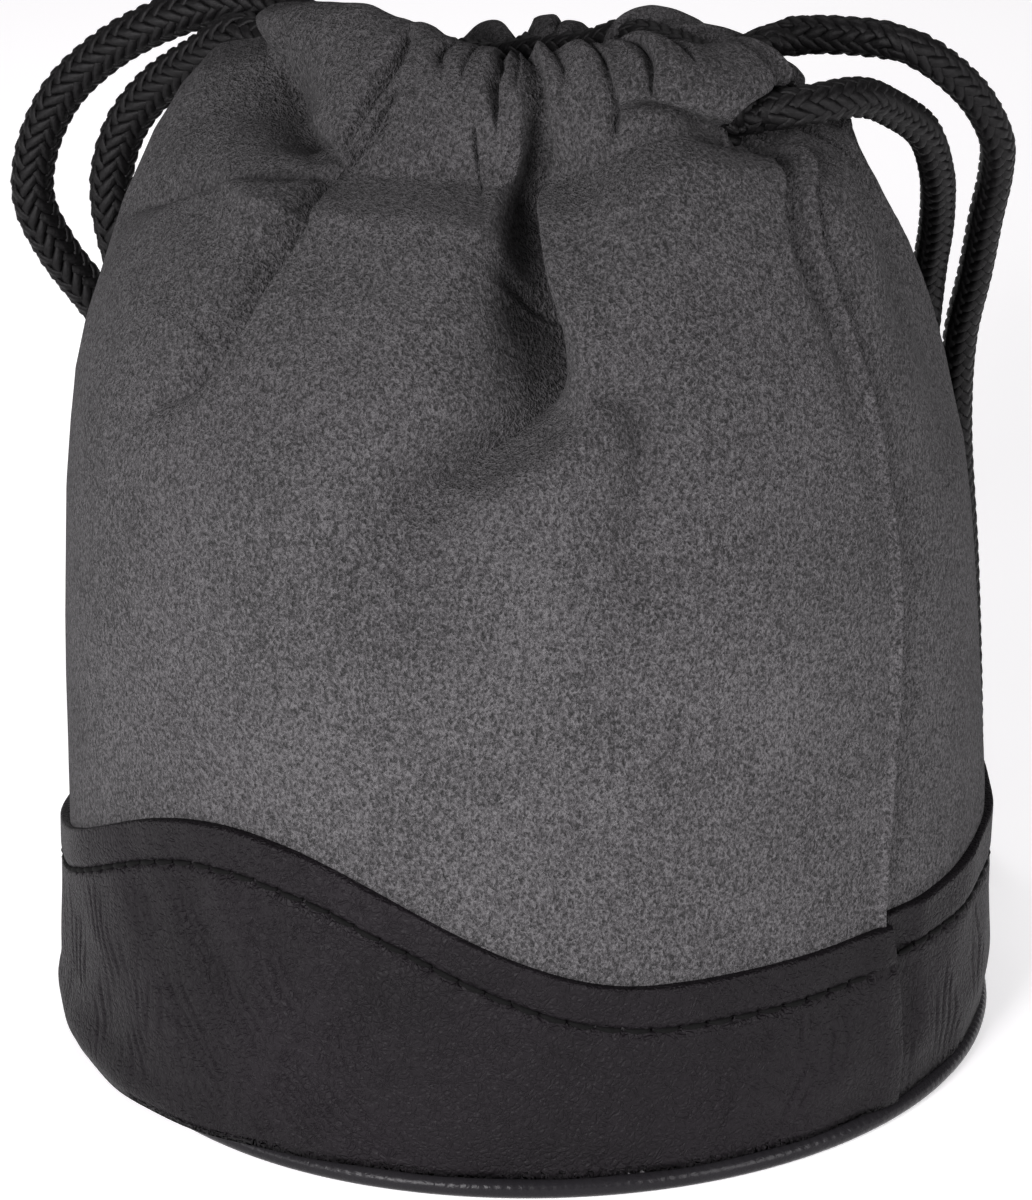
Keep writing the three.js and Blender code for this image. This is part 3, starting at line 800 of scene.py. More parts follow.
def corner_filling(angle, height):
    """How far the cloth in the corner above the shoulder stands out from the plain shape."""
    above = height - read_round(neck_line, angle)
    spread = np.where(above < 0, CORNER_BELOW, CORNER_ABOVE)
    return read_round(neck_filling, angle) * np.exp(-(above / spread) ** 2)


print("radius half way up the front, mm:", round(float(wall_radius(-90.0, 50.0)), 1))

# %% [markdown]
# ### Folds in the suede
# Where the cords draw the cloth in, it has to go somewhere, so it folds. The largest fold falls from the
# hem at the front right, and its right side hangs over it as a lip. A fold is a line down the cloth: each
# row gives its angle and height, its depth, and its spread towards smaller and towards larger angles.

# %% Main fold
main_fold = [
    (-50.4, 110.1, 2.6, 1, 0.8), (-49.1, 108.7, 3.2, 1, 0.8), (-48.4, 106.2, 3.6, 1, 0.8),
    (-47.5, 103.4, 3.8, 1.1, 0.8), (-46.5, 100.2, 4.6, 1.4, 0.7), (-45.8, 98.5, 6, 1.8, 0.6),
    (-45.5, 97.1, 9, 3.2, 0.5), (-45.5, 95.9, 11, 5, 0.5), (-45.2, 93.9, 12.5, 7.2, 0.5),
    (-44.5, 91.9, 12.8, 8.8, 0.5), (-43.5, 90, 12.8, 10.2, 0.6), (-43.2, 88, 12.4, 11.5, 0.8),
    (-43.2, 85.7, 11.2, 12.5, 1.1), (-44.2, 83.5, 10, 13, 1.6), (-45.8, 81.5, 9, 13, 2.4),
    (-49.7, 79.7, 8.2, 12, 3.6), (-54, 77.9, 7.8, 11, 4.2), (-59.2, 75.6, 7, 10, 5),
    (-62.8, 73.1, 5.8, 9, 5.5), (-64.8, 69.6, 3.8, 9, 7), (-65.8, 64, 1.5, 10, 9), (-65.8, 57, 0, 10, 9),
]
print("main fold, deepest mm:", max(row[2] for row in main_fold))

# %% [markdown]
# Tucks are sharper: the cloth is laid over itself along a line that also runs sideways, so they are
# measured along the surface. They have the same rows.

# %% Tucks
tucks = [
    # fold right of the main one
    [
        (-42.5, 83.7, 0, 2, 2), (-40.9, 82.6, 1.4, 2.2, 2.2), (-38, 82.5, 2.4, 2.6, 2.6),
        (-35.7, 81.1, 3.2, 3, 3.2), (-35, 77.7, 3.4, 3.6, 4), (-35.7, 73, 2.6, 4.5, 5),
        (-37.3, 67.4, 1.4, 6, 6), (-38.9, 61.6, 0, 6, 6),
    ],
    # upper line of the tuck on the left
    [
        (-107, 109.4, 1.6, 0.9, 0.7), (-102.1, 107.6, 2.6, 0.9, 0.7), (-102.1, 105.3, 3, 1, 0.7),
        (-103.1, 102.9, 2.8, 1.2, 0.7), (-103.7, 100.5, 2, 1.2, 0.8), (-104.7, 98.2, 0, 1, 1),
    ],
    # lower line of the tuck on the left
    [
        (-93.3, 103.5, 0, 0.8, 0.5), (-94.9, 101.4, 2.4, 1.4, 0.45), (-98.8, 98.9, 3.2, 2.2, 0.45),
        (-101.5, 97, 4, 3.2, 0.5), (-95.6, 94.7, 5, 4.4, 0.5), (-96.9, 90.3, 5.2, 5.2, 0.55),
        (-97.2, 85.9, 4.6, 6, 0.6), (-99.2, 81.3, 3.2, 6.5, 0.9), (-103.1, 78.1, 2, 6.5, 1.8),
        (-109, 74.9, 0.9, 6, 3.5), (-116.5, 71.9, 0, 6, 5),
    ],
    # thin line beside it
    [
        (-94.6, 105.9, 0, 0.6, 0.6), (-96.2, 103.5, 1.8, 0.6, 0.5), (-98.2, 100.7, 2, 0.6, 0.5),
        (-100.1, 98.7, 1.4, 0.6, 0.5), (-100.1, 97, 0, 0.6, 0.6),
    ],
    # under the left puff
    [
        (-150.5, 104.8, 2.4, 1.6, 0.6), (-152.8, 101.3, 3.2, 2.2, 0.6), (-146.3, 98.6, 3.4, 2.8, 0.6),
        (-116.5, 98.5, 3, 2.6, 0.7), (-103.1, 98, 1.6, 1.6, 0.8), (-99.2, 98.2, 0, 1.2, 1),
    ],
    # crease on the left shoulder
    [
        (-101.1, 98.2, 0, 1.5, 0.8), (-105.1, 97.2, 2.4, 2.6, 0.7), (-111.9, 96.4, 3.8, 3.6, 0.7),
        (-121.1, 95.5, 4, 4.2, 0.8), (-133.9, 92, 3.2, 4.4, 1.4), (-141.4, 89.1, 1.8, 4.6, 2.6),
        (-150.9, 84.8, 0, 4.6, 4),
    ],
    # lower edge of the right lobe
    [
        (-32.7, 106.4, 0, 0.8, 0.6), (-30.8, 107, 2.2, 0.7, 0.5), (-27.2, 107.7, 2.8, 0.6, 0.5),
        (-23.9, 107.1, 3, 0.6, 0.5), (-20, 106.2, 3, 0.7, 0.6), (-15.4, 104.8, 3.2, 0.9, 0.8),
        (-10.1, 103.7, 3.6, 1.1, 1), (-6.5, 102.9, 1.6, 1, 1), (-3.6, 102.4, 0, 1, 1),
    ],
]
print("tucks:", len(tucks))

# %% [markdown]
# Short gathers run down from the hem's top between rounded rolls of cloth. Those of the front follow
# the photograph. It doesn't show those of the back, which are one gather, repeated.

# %% Hem gathers
BACK_GATHER_LEANS = (0, 0, 1, 2, 2)
BACK_GATHER_SPREADS = (1.3, 1.1, 1.6, 3, 5)


def back_gathers(places, heights, depths):
    """Gathers at the given angles, each of which runs down from the hem and fades out."""
    rows = list(zip(BACK_GATHER_LEANS, heights, depths, BACK_GATHER_SPREADS, BACK_GATHER_SPREADS))
    return [[(place + lean, *rest) for lean, *rest in rows] for place in places]


hem_gathers = [
    [
        (-0.3, 102.2, 1.6, 1, 1.8), (-4.6, 101.2, 2.2, 0.9, 2), (-7.9, 97.8, 2.4, 0.9, 2.6),
        (-8.2, 93.8, 2.2, 0.9, 2.6), (-6.9, 90, 1.8, 1, 2.4), (-6.2, 88.4, 1.5, 1.1, 2.4),
        (-4.8, 82, 0.8, 1.4, 3), (-4, 74, 0, 2, 3),
    ],
    [
        (-61.2, 115, 2.4, 1, 1), (-60.5, 108.5, 3.2, 0.9, 0.9), (-61.5, 107.2, 3.8, 0.8, 0.8),
        (-60.2, 105.3, 3.8, 0.8, 0.8), (-58.6, 102.9, 2, 0.8, 0.8), (-58.3, 101.2, 0, 0.9, 0.9),
    ],
    [
        (-66.4, 104.3, 0, 0.8, 0.8), (-65.1, 102.6, 3.2, 0.7, 0.8), (-64.5, 100.7, 3.8, 0.7, 0.8),
        (-63.2, 98.1, 2, 1, 1.2), (-58.6, 95.5, 0.8, 3, 3), (-56.9, 91.6, 0, 4, 4),
    ],
    [
        (-96.5, 115, 2.4, 1.1, 1.1), (-88.7, 108.6, 1.8, 1, 1), (-77.9, 106.7, 0, 1, 1),
    ],
    [
        (-27.8, 115, 2.2, 0.9, 0.9), (-31.7, 109.8, 2.4, 0.8, 0.8), (-33.7, 107.6, 0, 0.8, 0.8),
    ],
    [
        (-31.1, 115, 0, 0.8, 0.8), (-31.7, 107.1, 3.4, 0.7, 0.8), (-31.7, 104.5, 2.8, 0.7, 0.8),
        (-32.4, 102.4, 0, 0.8, 0.8),
    ],
    [
        (-21.6, 115, 2.6, 0.9, 1), (-23.6, 111.4, 3.4, 0.8, 0.9), (-25.2, 108.9, 3.4, 0.8, 0.9),
        (-24.9, 107.3, 2, 0.8, 0.9), (-23.9, 105.9, 0, 1, 1),
    ],
    [
        (-39.6, 115, 2, 1, 1), (-40.6, 109.7, 1.6, 1, 1), (-41.2, 107.4, 0, 1, 1),
    ],
    [
        (-55.6, 115, 2.4, 1.1, 1.1), (-54.3, 108.3, 1.8, 1, 1), (-53, 106, 0, 1, 1),
    ],
    [
        (-12.4, 115, 1.8, 1.2, 1.2), (-15.4, 111.3, 1.4, 1.2, 1.2), (-16.7, 109.4, 0, 1.2, 1.2),
    ],
    [
        (-77.6, 115, 1.6, 1, 1), (-74, 107.8, 1.2, 1, 1), (-71.7, 105.9, 0, 1, 1),
    ],
    *back_gathers((150.9, 133.5, 97.5, 80.2), (112, 98, 93, 82, 72), (3, 3.2, 2.6, 1, 0)),
    *back_gathers((36, 14), (112, 101, 97, 86, 74), (3.2, 3.2, 2.8, 1, 0)),
]
print("hem gathers:", len(hem_gathers))

# %% [markdown]
# Between the folds the cloth puffs out, and it is pushed in on both sides of the gap that the right
# cord leaves through. A row gives angle, height, how far it stands out or goes in, its spread round the
# pouch and its spread in height.

# %% Swellings and dents
swellings = [
    (-136, 104, 2.6, 9, 4.5), (-165, 96, 1.6, 9, 7), (-76, 90, 1.6, 9, 9), (-27, 94, 1.6, 8, 9),
    (-17, 108.6, 2.2, 6.5, 3.0), (-125, 84, 1.2, 12, 8), (-40, 77, 0.8, 5, 5), (-90, 66, 0.6, 16, 12),
    (-20, 100, 1.2, 8, 3), (-58, 101.5, 0.9, 5, 3.5), (-38, 101.5, 1.0, 4, 3.5), (-74, 101, 1.0, 4.5, 4),
]
dents = [(-4.0, 104.6, 6.5, 2.8, 2.0), (2.5, 104.6, 6.5, 2.9, 2.2)]
print("swellings and dents:", len(swellings), len(dents))

# %% [markdown]
# The back has finer gathers as well, at uneven distances, as chance and the cord's pull leave them.
# They start at the hem, are deepest at the neck and open out as they run down.

# %% Gathers round the back
BACK_FOLDS_START, BACK_FOLDS_END = 14.0, 192


def random_folds(seed):
    """Gathers all round the rest of the hem, which run out over the shoulder."""
    chance = np.random.default_rng(seed)
    folds = []
    angle = BACK_FOLDS_START
    while angle < BACK_FOLDS_END:
        depth = chance.uniform(1.6, 3.0)
        reach = chance.uniform(62, 88)
        drift = chance.uniform(-5, 5)
        spread = chance.uniform(0.8, 1.4)
        folds.append([
            (angle + 0.4 * drift, 112, depth * 0.9, spread, spread),
            (angle, 102, depth, spread, spread),
            (angle, 98, depth * 1.3, 1.6 * spread, 1.6 * spread),
            (angle + 0.5 * drift, (98 + reach) / 2, depth * 0.75, 3.2 * spread, 3.2 * spread),
            (angle + drift, reach, 0.0, 5 * spread, 5 * spread),
        ])
        angle += chance.uniform(12, 20)
    return folds


back_folds = random_folds(11)
print("gathers round the back:", len(back_folds))

# %% [markdown]
# ### How the folds press in
# A gather in tight cloth is a sharp crease between rounded rolls, and lower down it opens to a soft
# valley. A tuck is a crease on both sides of its line. The main fold is steep under its lip and gentle
# on its open side, and the lip is pulled over it.

# %% Gathers and swellings
ROLL_REACH = 2.4
SOFT_REACH = 1.6


def turn_difference(angle, centre):
    """Difference of two angles, from -180 to 180."""
    return (angle - centre + 180) % 360 - 180


def fold_rows(fold, height):
    """Centre, depth and spreads of a fold at each height."""
    rows = np.array(sorted(fold, key=lambda row: row[1]), float)
    centre, deep, left, right = (np.interp(height, rows[:, 1], rows[:, column]) for column in (0, 2, 3, 4))
    return centre, np.where(height < rows[0, 1], 0, deep), left, right


def fold_depth(angle, height, radius):
    """How deep the gathers press the wall in, in millimetres; swellings count against it."""
    depth = np.zeros(np.broadcast(angle, height).shape)
    for fold in hem_gathers + back_folds:
        centre, deep, left, right = fold_rows(fold, height)
        across = np.radians(turn_difference(angle, centre)) * radius
        spread = np.where(across < 0, left, right)
        away = 1 - np.minimum(1, np.abs(across) / (ROLL_REACH * spread))
        rolled = 1 - np.sqrt(1 - away ** 2)
        soft = np.exp(-(across / (SOFT_REACH * spread)) ** 2)
        softness = smooth_share(spread, 1.2, 2.6)
        depth = np.maximum(depth, deep * (rolled * (1 - softness) + soft * softness))
    for centre, level, out, wide, tall in swellings:
        across = np.radians(turn_difference(angle, centre)) * radius
        depth = depth - out * np.exp(-(across / wide) ** 2 - ((height - level) / tall) ** 2)
    for centre, level, deep, wide, tall in dents:
        across = np.radians(turn_difference(angle, centre)) * radius
        depth = depth + deep * np.exp(-np.abs(across / wide) ** 2.5 - np.abs((height - level) / tall) ** 2.5)
    return depth


print("depth in a gather's line, mm:", fold_depth(np.array([-61.5]), np.array([107.2]), 30.0).round(1))
print("widest tuck, mm:", max(max(row[3:]) for tuck in tucks for row in tuck))

# %% Depth of a tuck
def surface_spot(turn, level):
    """Point of the smooth outer surface at an angle and height."""
    column = int(round((turn + 180) / 360 * ANGLE_STEPS)) % ANGLE_STEPS
    row = int(np.argmin(np.abs(height[:OUTER_ROWS, column] - level)))
    return smooth_points[row, column]


def tuck_depth(tuck, points, normals):
    """Depth of a tuck that runs over the surface along a line of (angle, height, depth, spread, spread)."""
    spots = np.array([surface_spot(row[0], row[1]) for row in tuck])
    reach = 3 * max(max(row[3:]) for row in tuck)
    near = np.all((points > spots.min(0) - reach) & (points < spots.max(0) + reach), axis=-1)
    place, normal = points[near], normals[near]
    closest = np.full(len(place), np.inf)
    depth = np.zeros(len(place))
    for start, end, first, last in zip(spots, spots[1:], tuck, tuck[1:]):
        run = end - start
        share = np.clip(((place - start) @ run) / (run @ run), 0, 1)
        offset = place - start - share[:, None] * run
        through = np.sum(offset * normal, axis=1)
        offset = offset - through[:, None] * normal
        # Points more than 3 mm off, through the cloth, lie on another layer and count as far away.
        distance = np.linalg.norm(offset, axis=1) + 3 * np.maximum(0, np.abs(through) - 3)
        right_side = np.sum(np.cross(normal, run) * offset, axis=1) > 0
        deep, left, right = (first[column] + (last[column] - first[column]) * share for column in (2, 3, 4))
        spread = np.where(right_side, right, left)
        sharp = np.exp(-(distance / (0.4 * spread)) ** 1.2)
        crease = 0.5 * sharp + 0.5 * np.exp(-(distance / spread) ** 1.6)
        better = distance < closest
        closest = np.where(better, distance, closest)
        depth = np.where(better, deep * crease, depth)
    result = np.zeros(points.shape[:-1])
    result[near] = depth
    return result


# %% Depth of the main fold
OVERHANG = 2.2


def main_fold_push(angle, height, radius):
    """Depth of the large front fold and how far its right lip is pulled over it."""
    centre, deep, left, right = fold_rows(main_fold, height)
    across = np.radians(turn_difference(angle, centre)) * radius
    gentle = smooth_share(across, -1.5 * left, -0.15 * left - 0.6)
    steep = smooth_share(across, -0.9 * left, -0.3)
    slope = 0.45 * gentle + 0.55 * steep
    depth = np.where(across < 0, slope, np.exp(-np.abs(across / right) ** 2)) * deep
    lip = OVERHANG * np.exp(-((across - 0.8) / 1.8) ** 2) * smooth_share(deep, 4, 9)
    return depth, lip


print("main fold in its line, mm:", main_fold_push(np.array([-45.2]), np.array([93.9]), 40.0)[0].round(1))

# %% Unevenness of the cloth
def cloth_unevenness(angle, height, seed):
    """Slow waves of a soft cloth, strongest near the gathers."""
    chance = np.random.default_rng(seed)
    total = np.zeros(np.broadcast(angle, height).shape)
    turn = np.radians(angle)
    for _ in range(26):
        round_waves = chance.integers(2, 16)
        rise_length = chance.uniform(18, 60)
        tilt = chance.uniform(-1, 1)
        lean = 2 * np.pi * tilt * height / rise_length
        total = total + np.cos(round_waves * turn + lean + chance.uniform(0, 6.3)) / 5
    return total * (0.10 + 0.30 * smooth_share(height, 50, 95))


print("unevenness at the front, mm:", cloth_unevenness(np.array([-90.0]), np.array([60.0]), 5).round(2))

# %% [markdown]
# ### The folded wall
# One grid of points runs up the wall, over the hem and down inside it. The folds are pressed in square
# to the surface, along directions that are evened out first, so that they don't cross in the tight
# corner under the hem. In the hem the folds are held back, because the two cords fill it.

# %% Grid of the wall
ANGLE_STEPS = 1100
LOWER_SHARE = 0.6
LOWER_ROWS, UPPER_ROWS = 70, 130
WALL_ROWS = LOWER_ROWS + UPPER_ROWS
HEM_ROWS = 90
# The first so many rows lie on the outside, where the folds' lines are looked up.
OUTER_ROWS = 246
HEM_SOFTNESS = 1.5
angles = np.linspace(-180, 180, ANGLE_STEPS, endpoint=False)

# Profile of the hem from the neck line over the cords and down inside: inset from the neck's oval, and
# share of the way from the neck line up to the hem's top.
hem_profile = np.array([
    (0.0, 0.0), (0.4, 0.10), (-0.2, 0.24), (-1.1, 0.42), (-1.4, 0.60), (-0.6, 0.78), (1.1, 0.92), (3.2, 1.0),
    (5.0, 0.99), (6.6, 0.90), (7.7, 0.74), (8.3, 0.52), (8.4, 0.26), (8.2, -0.05), (8.0, -0.4),
])


def wall_grid():
    """Rows of points up the wall and over the hem, with the height that folds are read at."""
    lower = np.linspace(0, LOWER_SHARE, LOWER_ROWS, endpoint=False)
    upper = np.linspace(LOWER_SHARE, 1, UPPER_ROWS, endpoint=False)
    angle, share = np.meshgrid(angles, np.concatenate([lower, upper]))
    neck = read_round(neck_line, angle)
    height = WALL_BOTTOM + share * (neck - WALL_BOTTOM)
    radius = wall_radius(angle, height)
    steps = np.linspace(0, len(hem_profile) - 1, HEM_ROWS)
    inset = np.interp(steps, range(len(hem_profile)), hem_profile[:, 0])
    rise = np.interp(steps, range(len(hem_profile)), hem_profile[:, 1])
    for _ in range(3):
        inset[1:-1] = (inset[:-2] + 2 * inset[1:-1] + inset[2:]) / 4
        rise[1:-1] = (rise[:-2] + 2 * rise[1:-1] + rise[2:]) / 4
    hem_angle, hem_rise = np.meshgrid(angles, rise)
    neck = read_round(neck_line, hem_angle)
    hem_height = neck + (read_round(hem_line, hem_angle, HEM_SOFTNESS) - neck) * hem_rise
    hem_radius = neck_oval(hem_angle) - inset[:, None]
    inside = np.concatenate([np.zeros(WALL_ROWS), smooth_share(inset, 4.0, 7.0)])[:, None]
    angle = np.concatenate([angle, hem_angle])
    height = np.concatenate([height, hem_height])
    radius = np.concatenate([radius, hem_radius])
    # The radius is smoothed from row to row where the wall meets the hem.
    first, last = WALL_ROWS - 14, WALL_ROWS + 6
    for _ in range(4):
        neighbours = radius[first - 1:last - 1] + 2 * radius[first:last] + radius[first + 1:last + 1]
        radius[first:last] = neighbours / 4
    inside = inside + 0 * angle
    filled = radius + corner_filling(angle, height) * (1 - np.minimum(1, 1.6 * inside))
    return angle, height, filled, inside


# %% Points and directions
def cylinder_points(angle, height, radius):
    """Points from their angle, height and radius."""
    turn = np.radians(angle)
    return np.stack([radius * np.cos(turn), radius * np.sin(turn), height], axis=-1)


def grid_normals(points):
    """Unit normals of a closed grid, pointing away from the piece's inside."""
    up = np.gradient(points, axis=0)
    around = np.roll(points, -1, axis=1) - np.roll(points, 1, axis=1)
    normal = np.cross(around, up)
    return normal / np.linalg.norm(normal, axis=-1)[..., None]


def calmed(values):
    """Values of the grid averaged with their neighbours, so that folds don't cross in tight corners."""
    for step in (1, 2, 4, 8):
        values = (np.roll(values, step, axis=1) + 2 * values + np.roll(values, -step, axis=1)) / 4
    for step in (1, 2, 4):
        below = np.concatenate([values[:1]] * step + [values[:-step]])
        above = np.concatenate([values[step:]] + [values[-1:]] * step)
        values = (below + 2 * values + above) / 4
    return values


angle, height, radius, inside = wall_grid()
print("points of the wall's grid:", angle.size)

# %% Folds pressed into the wall
HEM_FOLD_LIMIT = 4.2
LEAST_RADIUS = 18
# The share of each kind of fold that is lost inside the hem.
GATHERS_LOST, WAVES_LOST, FOLD_LOST = 0.45, 0.6, 0.5
smooth_points = cylinder_points(angle, height, radius)
normals = calmed(grid_normals(smooth_points))
normals /= np.linalg.norm(normals, axis=-1)[..., None]
reading_radius = np.maximum(radius, LEAST_RADIUS)
pressed = fold_depth(angle, height, reading_radius) * (1 - GATHERS_LOST * inside)
pressed = pressed + cloth_unevenness(angle, height, 5) * (1 - WAVES_LOST * inside)
for tuck in tucks:
    pressed = np.maximum(pressed, tuck_depth(tuck, smooth_points, normals))
main_depth, lip = main_fold_push(angle, height, reading_radius)
pressed = np.maximum(pressed, main_depth * (1 - FOLD_LOST * inside))
in_hem = smooth_share(np.arange(len(height))[:, None], WALL_ROWS - 8, WALL_ROWS + 10)
hem_limit = HEM_FOLD_LIMIT * (1 - FOLD_LOST * inside)
limited = hem_limit * np.tanh(np.maximum(pressed, 0) / hem_limit)
pressed = np.where(pressed > 0, pressed + (limited - pressed) * in_hem, pressed)
sideways = np.stack([np.sin(np.radians(angle)), -np.cos(np.radians(angle)), 0 * angle], axis=-1)
suede_points = smooth_points - normals * pressed[..., None] + sideways * lip[..., None]
print("deepest fold, mm:", round(float(pressed.max()), 1))

# %% [markdown]
# ### Front and back panel
# The wall is sewn from two pieces of suede, with a seam down each side. The seam shows as a low ridge
# with a step beside it. The right one wanders a little with the cloth.

# %% Front and back panel
# The right seam's angle at each height.
right_seam = np.array([
    (2.3, -1.0), (25, -1.7), (36, -0.4), (46, 1.2), (57, 2.0), (65, 1.5), (73, 0.4), (80, 0.0),
    (85, -1.1), (89, -2.1), (94, -2.8), (98.5, -1.4), (101, 3.0), (104, 5.0), (113, 5.0),
])
left_seam_angle = 180.0
SEAM_RIDGE = 0.7
SEAM_STEP = 0.6
RIDGE_ASIDE, RIDGE_HALF_WIDTH = 0.5, 0.55


def seam_angle(height):
    """Angle of the right seam at a height."""
    return np.interp(height, right_seam[:, 0], right_seam[:, 1])


from_seam = np.radians(turn_difference(angle, seam_angle(height))) * radius
ridge = SEAM_RIDGE * np.exp(-((from_seam + RIDGE_ASIDE) / RIDGE_HALF_WIDTH) ** 2)
# Under the band the seam is pressed flat.
ridge = ridge * smooth_share(height, 13, 21)
groove = SEAM_STEP * np.exp(-(np.maximum(from_seam, 0) / 4) ** 2) * smooth_share(from_seam, -0.4, 0.4)
from_left = np.radians(turn_difference(angle, left_seam_angle)) * radius
groove = groove + SEAM_STEP * np.exp(-(from_left / 0.8) ** 2)
suede_points = suede_points + normals * (ridge - groove)[..., None]


def panel_piece(name, is_front):
    """The part of the suede grid on one side of the side seams."""
    rows, columns = angle.shape
    index = np.arange(rows * columns).reshape(rows, columns)
    following = np.roll(index, -1, axis=1)
    middle = angle + 180 / ANGLE_STEPS
    on_front = turn_difference(middle, seam_angle(height)) < 0
    keep = on_front[:-1] if is_front else ~on_front[:-1]
    quads = np.stack([index[:-1], following[:-1], following[1:], index[1:]], axis=-1)[keep]
    used, compact = np.unique(quads, return_inverse=True)
    return mesh_piece(name, suede_points.reshape(-1, 3)[used], compact.reshape(-1, 4), suede)


panels = {"front": panel_piece("front_suede", True), "back": panel_piece("back_suede", False)}
for side, panel in panels.items():
    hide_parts(f"upper_{side}_panel", f"{side}_hem_strip")
    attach(panel, "pouch")
    print(side, "panel points:", len(panel.data.vertices))

# %% [markdown]
# ## Lining
# A thin woven bag hangs inside the suede. Only its top shows, when someone looks down the mouth, so
# it is the wall's own grid, moved inwards past the padding and down to the base.

# %% Lining
LINING_DEPTH = 4.6
LINING_FOOT = 7.5
ROWS_UNDER_HEM = 14
deepest = np.maximum(pressed, 0)
for shift in (3, 5, 8):
    beside = np.maximum(np.roll(deepest, shift, axis=1), np.roll(deepest, -shift, axis=1))
    deepest = np.maximum(deepest, beside)
lining_rows = (height[:, 0] > LINING_FOOT) & (np.arange(len(height)) < WALL_ROWS - ROWS_UNDER_HEM)
# The plain lining needs only every third row and column.
lining_points = (smooth_points - normals * (deepest + LINING_DEPTH)[..., None])[lining_rows][::3, ::3]
lining = grid_piece("woven_lining", lining_points[:, ::-1], material=lining_cloth)
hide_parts("wall_lining")
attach(lining, "pouch")
print("lining points:", len(lining.data.vertices))

# %% [markdown]
# ## Leather band
# Two strips of leather wrap the foot, front and back. Their top edge rises to a hump in the middle of
# each side. The leather is 1.4 mm thick with a raw cut edge, and the front strip laps over the back
# one at the side seams. The row of stitches pulls small pits into it, and there are a few soft
# buckles where the strip was bent round.

# %% Band outline
BAND_LEVEL = 22.6
BAND_HUMP = 13.4
HUMP_HALF_ANGLE = 52.0
HUMP_SHIFT = 4.0
# Left of the hump the front piece's edge drops, between 10 and 50 degrees past the start angle.
FRONT_DROP, DROP_START, DROP_FROM, DROP_TO = 3.2, -110, 10, 50
BACK_BAND_STEP = 0.9
# The foot sags over the welt on this side.
SAG_ANGLE = -136.0
SAG_HALF_ANGLE = 48.0
FOOT_SAG = 2.0


def band_top(angle, is_front):
    """Height of the band's top edge at an angle."""
    middle = -90 + HUMP_SHIFT if is_front else 90 + HUMP_SHIFT
    share = np.minimum(1, np.abs(turn_difference(angle, middle)) / HUMP_HALF_ANGLE)
    top = BAND_LEVEL + BAND_HUMP * (1 + np.cos(np.pi * share)) / 2
    if not is_front:
        return top + BACK_BAND_STEP
    return top - FRONT_DROP * smooth_share(-turn_difference(angle, DROP_START), DROP_FROM, DROP_TO)


def sag_share(angle):
    """How much of the foot's sag there is at an angle."""
    return np.exp(-(turn_difference(angle, SAG_ANGLE) / SAG_HALF_ANGLE) ** 4)


print("band's height at the front, mm:", round(float(band_top(-90 + HUMP_SHIFT, True)), 1))

# %% [markdown]
# Leather that is bent round a foot keeps long fine creases where it was pressed together. They lie in
# patches, lean with the bend and are broken up by the hide's own unevenness.

# %% Leather wrinkles
WRINKLE_DEPTH = 0.2
WRINKLE_WIDTH = 0.5
WRINKLE_SHARPNESS = 1.7
WRINKLE_WANDER = 0.8
# Patches of wrinkles: angle, height, half width and half height of the patch, how far a wrinkle leans
# for each millimetre down, and the gap between wrinkles.
wrinkle_patches = [
    (-85, 19, 17, 9, 0.62, 1.7), (-112, 14, 16, 11, 0.2, 1.9), (-78, 8, 14, 6, 0.9, 1.6),
    (-36, 6, 12, 4, -1.6, 1.5), (-18, 12, 9, 9, -0.2, 1.8), (12, 13, 12, 10, 0.1, 1.7),
    (-150, 12, 18, 10, 0.1, 1.8), (60, 16, 18, 9, 0.5, 1.8), (120, 13, 20, 9, -0.4, 1.9),
]


def soft_noise(across, up, size, seed):
    """Smooth random values, mostly between -1 and 1, with lumps of about the given size."""
    chance = np.random.default_rng(seed)
    total = 0
    for _ in range(9):
        turn = chance.uniform(0, np.pi)
        wave = 2 * np.pi / (size * chance.uniform(1.4, 3.2))
        total = total + np.cos(wave * (across * np.cos(turn) + up * np.sin(turn)) + chance.uniform(0, 6.3))
    return total / 3


def leather_wrinkles(angle, height):
    """Depth of the long fine creases that bending has left in the leather."""
    across = np.radians(angle) * FOOT_RADIUS
    total = 0
    for number, (centre, level, wide, tall, lean, gap) in enumerate(wrinkle_patches):
        from_centre = np.radians(turn_difference(angle, centre)) * FOOT_RADIUS
        wander = WRINKLE_WANDER * soft_noise(across, height, 5, number)
        bent = from_centre + lean * (height - level) + wander
        from_crease = np.sin(np.pi * bent / gap) * gap / np.pi
        crease = np.exp(-(from_crease / WRINKLE_WIDTH * WRINKLE_SHARPNESS) ** 2)
        patch = np.exp(-(from_centre / wide) ** 4 - ((height - level) / tall) ** 4)
        unbroken = smooth_share(soft_noise(across, height * 0.45, 3, number + 20), -0.5, 0.7)
        total = total + crease * patch * unbroken
    return WRINKLE_DEPTH * total


print("patches of wrinkles:", len(wrinkle_patches))

# %% [markdown]
# The band's outer face follows the wall at a small distance, with soft buckles, a fan of them under
# the hump, and a foot that turns in, or bulges where it sags.

# %% Band face
BAND_STAND = 0.9
FOOT_ROUNDING = 0.8
SAG_BULGE, SAG_TURN_IN = 0.65, 0.5
FAN_ANGLE, FAN_HEIGHT = -82, 24


